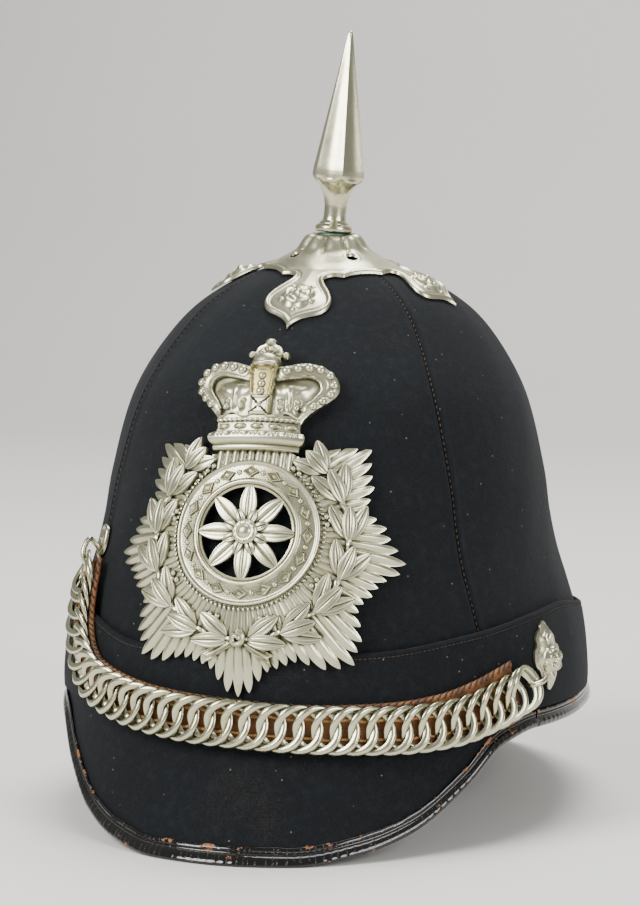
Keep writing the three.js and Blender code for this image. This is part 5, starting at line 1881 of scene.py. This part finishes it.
def end_hook(middle, side, root):
    """A hook that passes over the outer side of an end ring and down through it."""
    marks = [route_point(middle + side * (RING_RADIUS + far), 0, RING_OUT + out) for far, out in HOOK_MARKS]
    return bar_through("hook", smooth_line([np.ravel(m) for m in (root, *marks)], 0.5), radius=1.0, sides=12)


def boss_with_hook():
    sheet = struck_sheet("boss", [resample(BOSS_OUTLINE, 0.4)], on_boss, boss_relief, back=0.05)
    hook = end_hook(RING_LENGTHS[-1], 1, on_boss(-2.0, -11.0, 1.4))
    return joined("boss_with_hook", [sheet, hook])


def plain_hook():
    outline = resample(HOOK_PLATE, 0.5)

    def on_band(x, y, lift):
        return on_cloth(HOOK_ANGLE, HOOK_HEIGHT, x, y, 0.5 + lift)

    def relief(points):
        rim = 0.5 * ridge(np.abs(far_from(outline, points) - 0.8), 0.6)
        return 0.9 + rim + 1.2 * mound(np.hypot(points[:, 0], points[:, 1] - 1.5), 2.6)
    sheet = struck_sheet("hook_plate", [outline], on_band, relief, back=0.0, cell=0.5)
    return joined("plain_hook", [sheet, end_hook(RING_LENGTHS[0], -1, on_band(0.0, -3.25, 1.1))])


settle_metal(boss_with_hook(), "left_boss", finish=CAST)
settle_metal(plain_hook(), "right_hook", finish=CAST)

# %% [markdown]
# ## The threads
# The crown's four pieces of cloth are sewn along their seams, and the binding is sewn through its
# upper margin. Each stitch is a small capsule set along its line at an even pitch.

# %% Sew the seams and the binding
SEAM_STITCH_PITCH, BINDING_STITCH_PITCH = 2.3, 2.1


def seam_stitches():
    made, fine = [], np.linspace(1.2, 8.7, 900)

    def beside(at, seam, turn=0.0):
        section = crown_section(at)
        return oval_point(section, drifted(seam + 0 * at, section["height"]) + turn, -0.2)
    for seam in SEAMS:
        far = far_along(beside(fine, seam))
        at = np.interp(np.arange(0, far[-1], SEAM_STITCH_PITCH), far, fine)
        here = beside(at, seam)
        made.append(scatter("seam", capsule(length=0.9, radius=0.2), here, beside(at + 0.02, seam) - here,
                            beside(at, seam, -0.5) - beside(at, seam, 0.5), BROWN_THREAD))
    return joined("seam_stitches", made)


def binding_stitches(name, angles):
    def line(turn, up=3.2):
        return cloth_point(turn, edge_height(turn) + up, 0.86)
    far = far_along(line(angles))
    turn = np.interp(np.arange(1, far[-1] - 1, BINDING_STITCH_PITCH), far, angles)
    return scatter(name, capsule(length=1.2, radius=0.17), line(turn), line(turn + 0.3) - line(turn - 0.3),
                   line(turn, up=3.7) - line(turn, up=2.7), BLACK_THREAD)


settle(seam_stitches(), BROWN_THREAD, "cloth")
for side, angles in EDGE_ANGLES.items():
    settle(binding_stitches(f"{side}_binding_stitches", angles), BLACK_THREAD, "patent_leather")

# %% [markdown]
# ## Floor, light and finish
# A plain pale floor that curves up behind the helmet gives no lines to distract the eye. One broad
# soft light stands in front to the left, a second fills from the right, a third touches the top, and
# a fourth lights the backdrop.

# %% Floor and lights


def add_floor():
    """A floor that curves up into a backdrop, in metres."""
    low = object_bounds()[0][2]
    half, rise, bend = 4.0, 3.0, 1.2
    quarter = np.linspace(0, math.pi / 2, 24)
    curve = [(half / 2 + bend * math.sin(t), bend - bend * math.cos(t)) for t in quarter]
    section = [(-half, 0.0), *curve, (half / 2 + bend, rise + bend)]
    mesh = raw_mesh("floor", [(x, y, low + z) for y, z in section for x in (-half, half)],
                    [[2 * i, 2 * i + 1, 2 * i + 3, 2 * i + 2] for i in range(len(section) - 1)])
    mesh.shade_smooth()
    floor = bpy.data.objects.new("floor", mesh)
    bpy.context.scene.collection.objects.link(floor)
    new = Finish("plain_pale_floor")
    tone = new.mix(new.noise(400.0), "#e2e0dc", "#e8e6e2")
    mesh.materials.append(new.done({"Base Color": tone, "Roughness": 0.85}))


def add_light(name, place, size, power, aim=(0, 0, 0.12)):
    light = bpy.data.lights.new(name, "AREA")
    light.shape, light.size, light.energy = "DISK", size, power
    lamp = bpy.data.objects.new(name, light)
    lamp.location = place
    lamp.rotation_euler = (Vector(aim) - Vector(place)).to_track_quat("-Z", "Y").to_euler()
    bpy.context.scene.collection.objects.link(lamp)


add_floor()
add_light("front_light", (-0.75, -1.15, 0.95), size=0.9, power=33)
add_light("side_light", (1.25, -0.75, 0.65), size=0.8, power=15)
add_light("top_light", (0.1, 0.3, 1.5), size=0.9, power=14)
add_light("backdrop_light", (0.0, 0.9, 2.4), size=1.6, power=60, aim=(0.0, 2.6, 0.7))
world = bpy.data.worlds.new("studio")
world.use_nodes = True
for name, value in (("Color", linear("#e9e9e6")), ("Strength", 0.42)):
    world.node_tree.nodes["Background"].inputs[name].default_value = value
bpy.context.scene.world = world
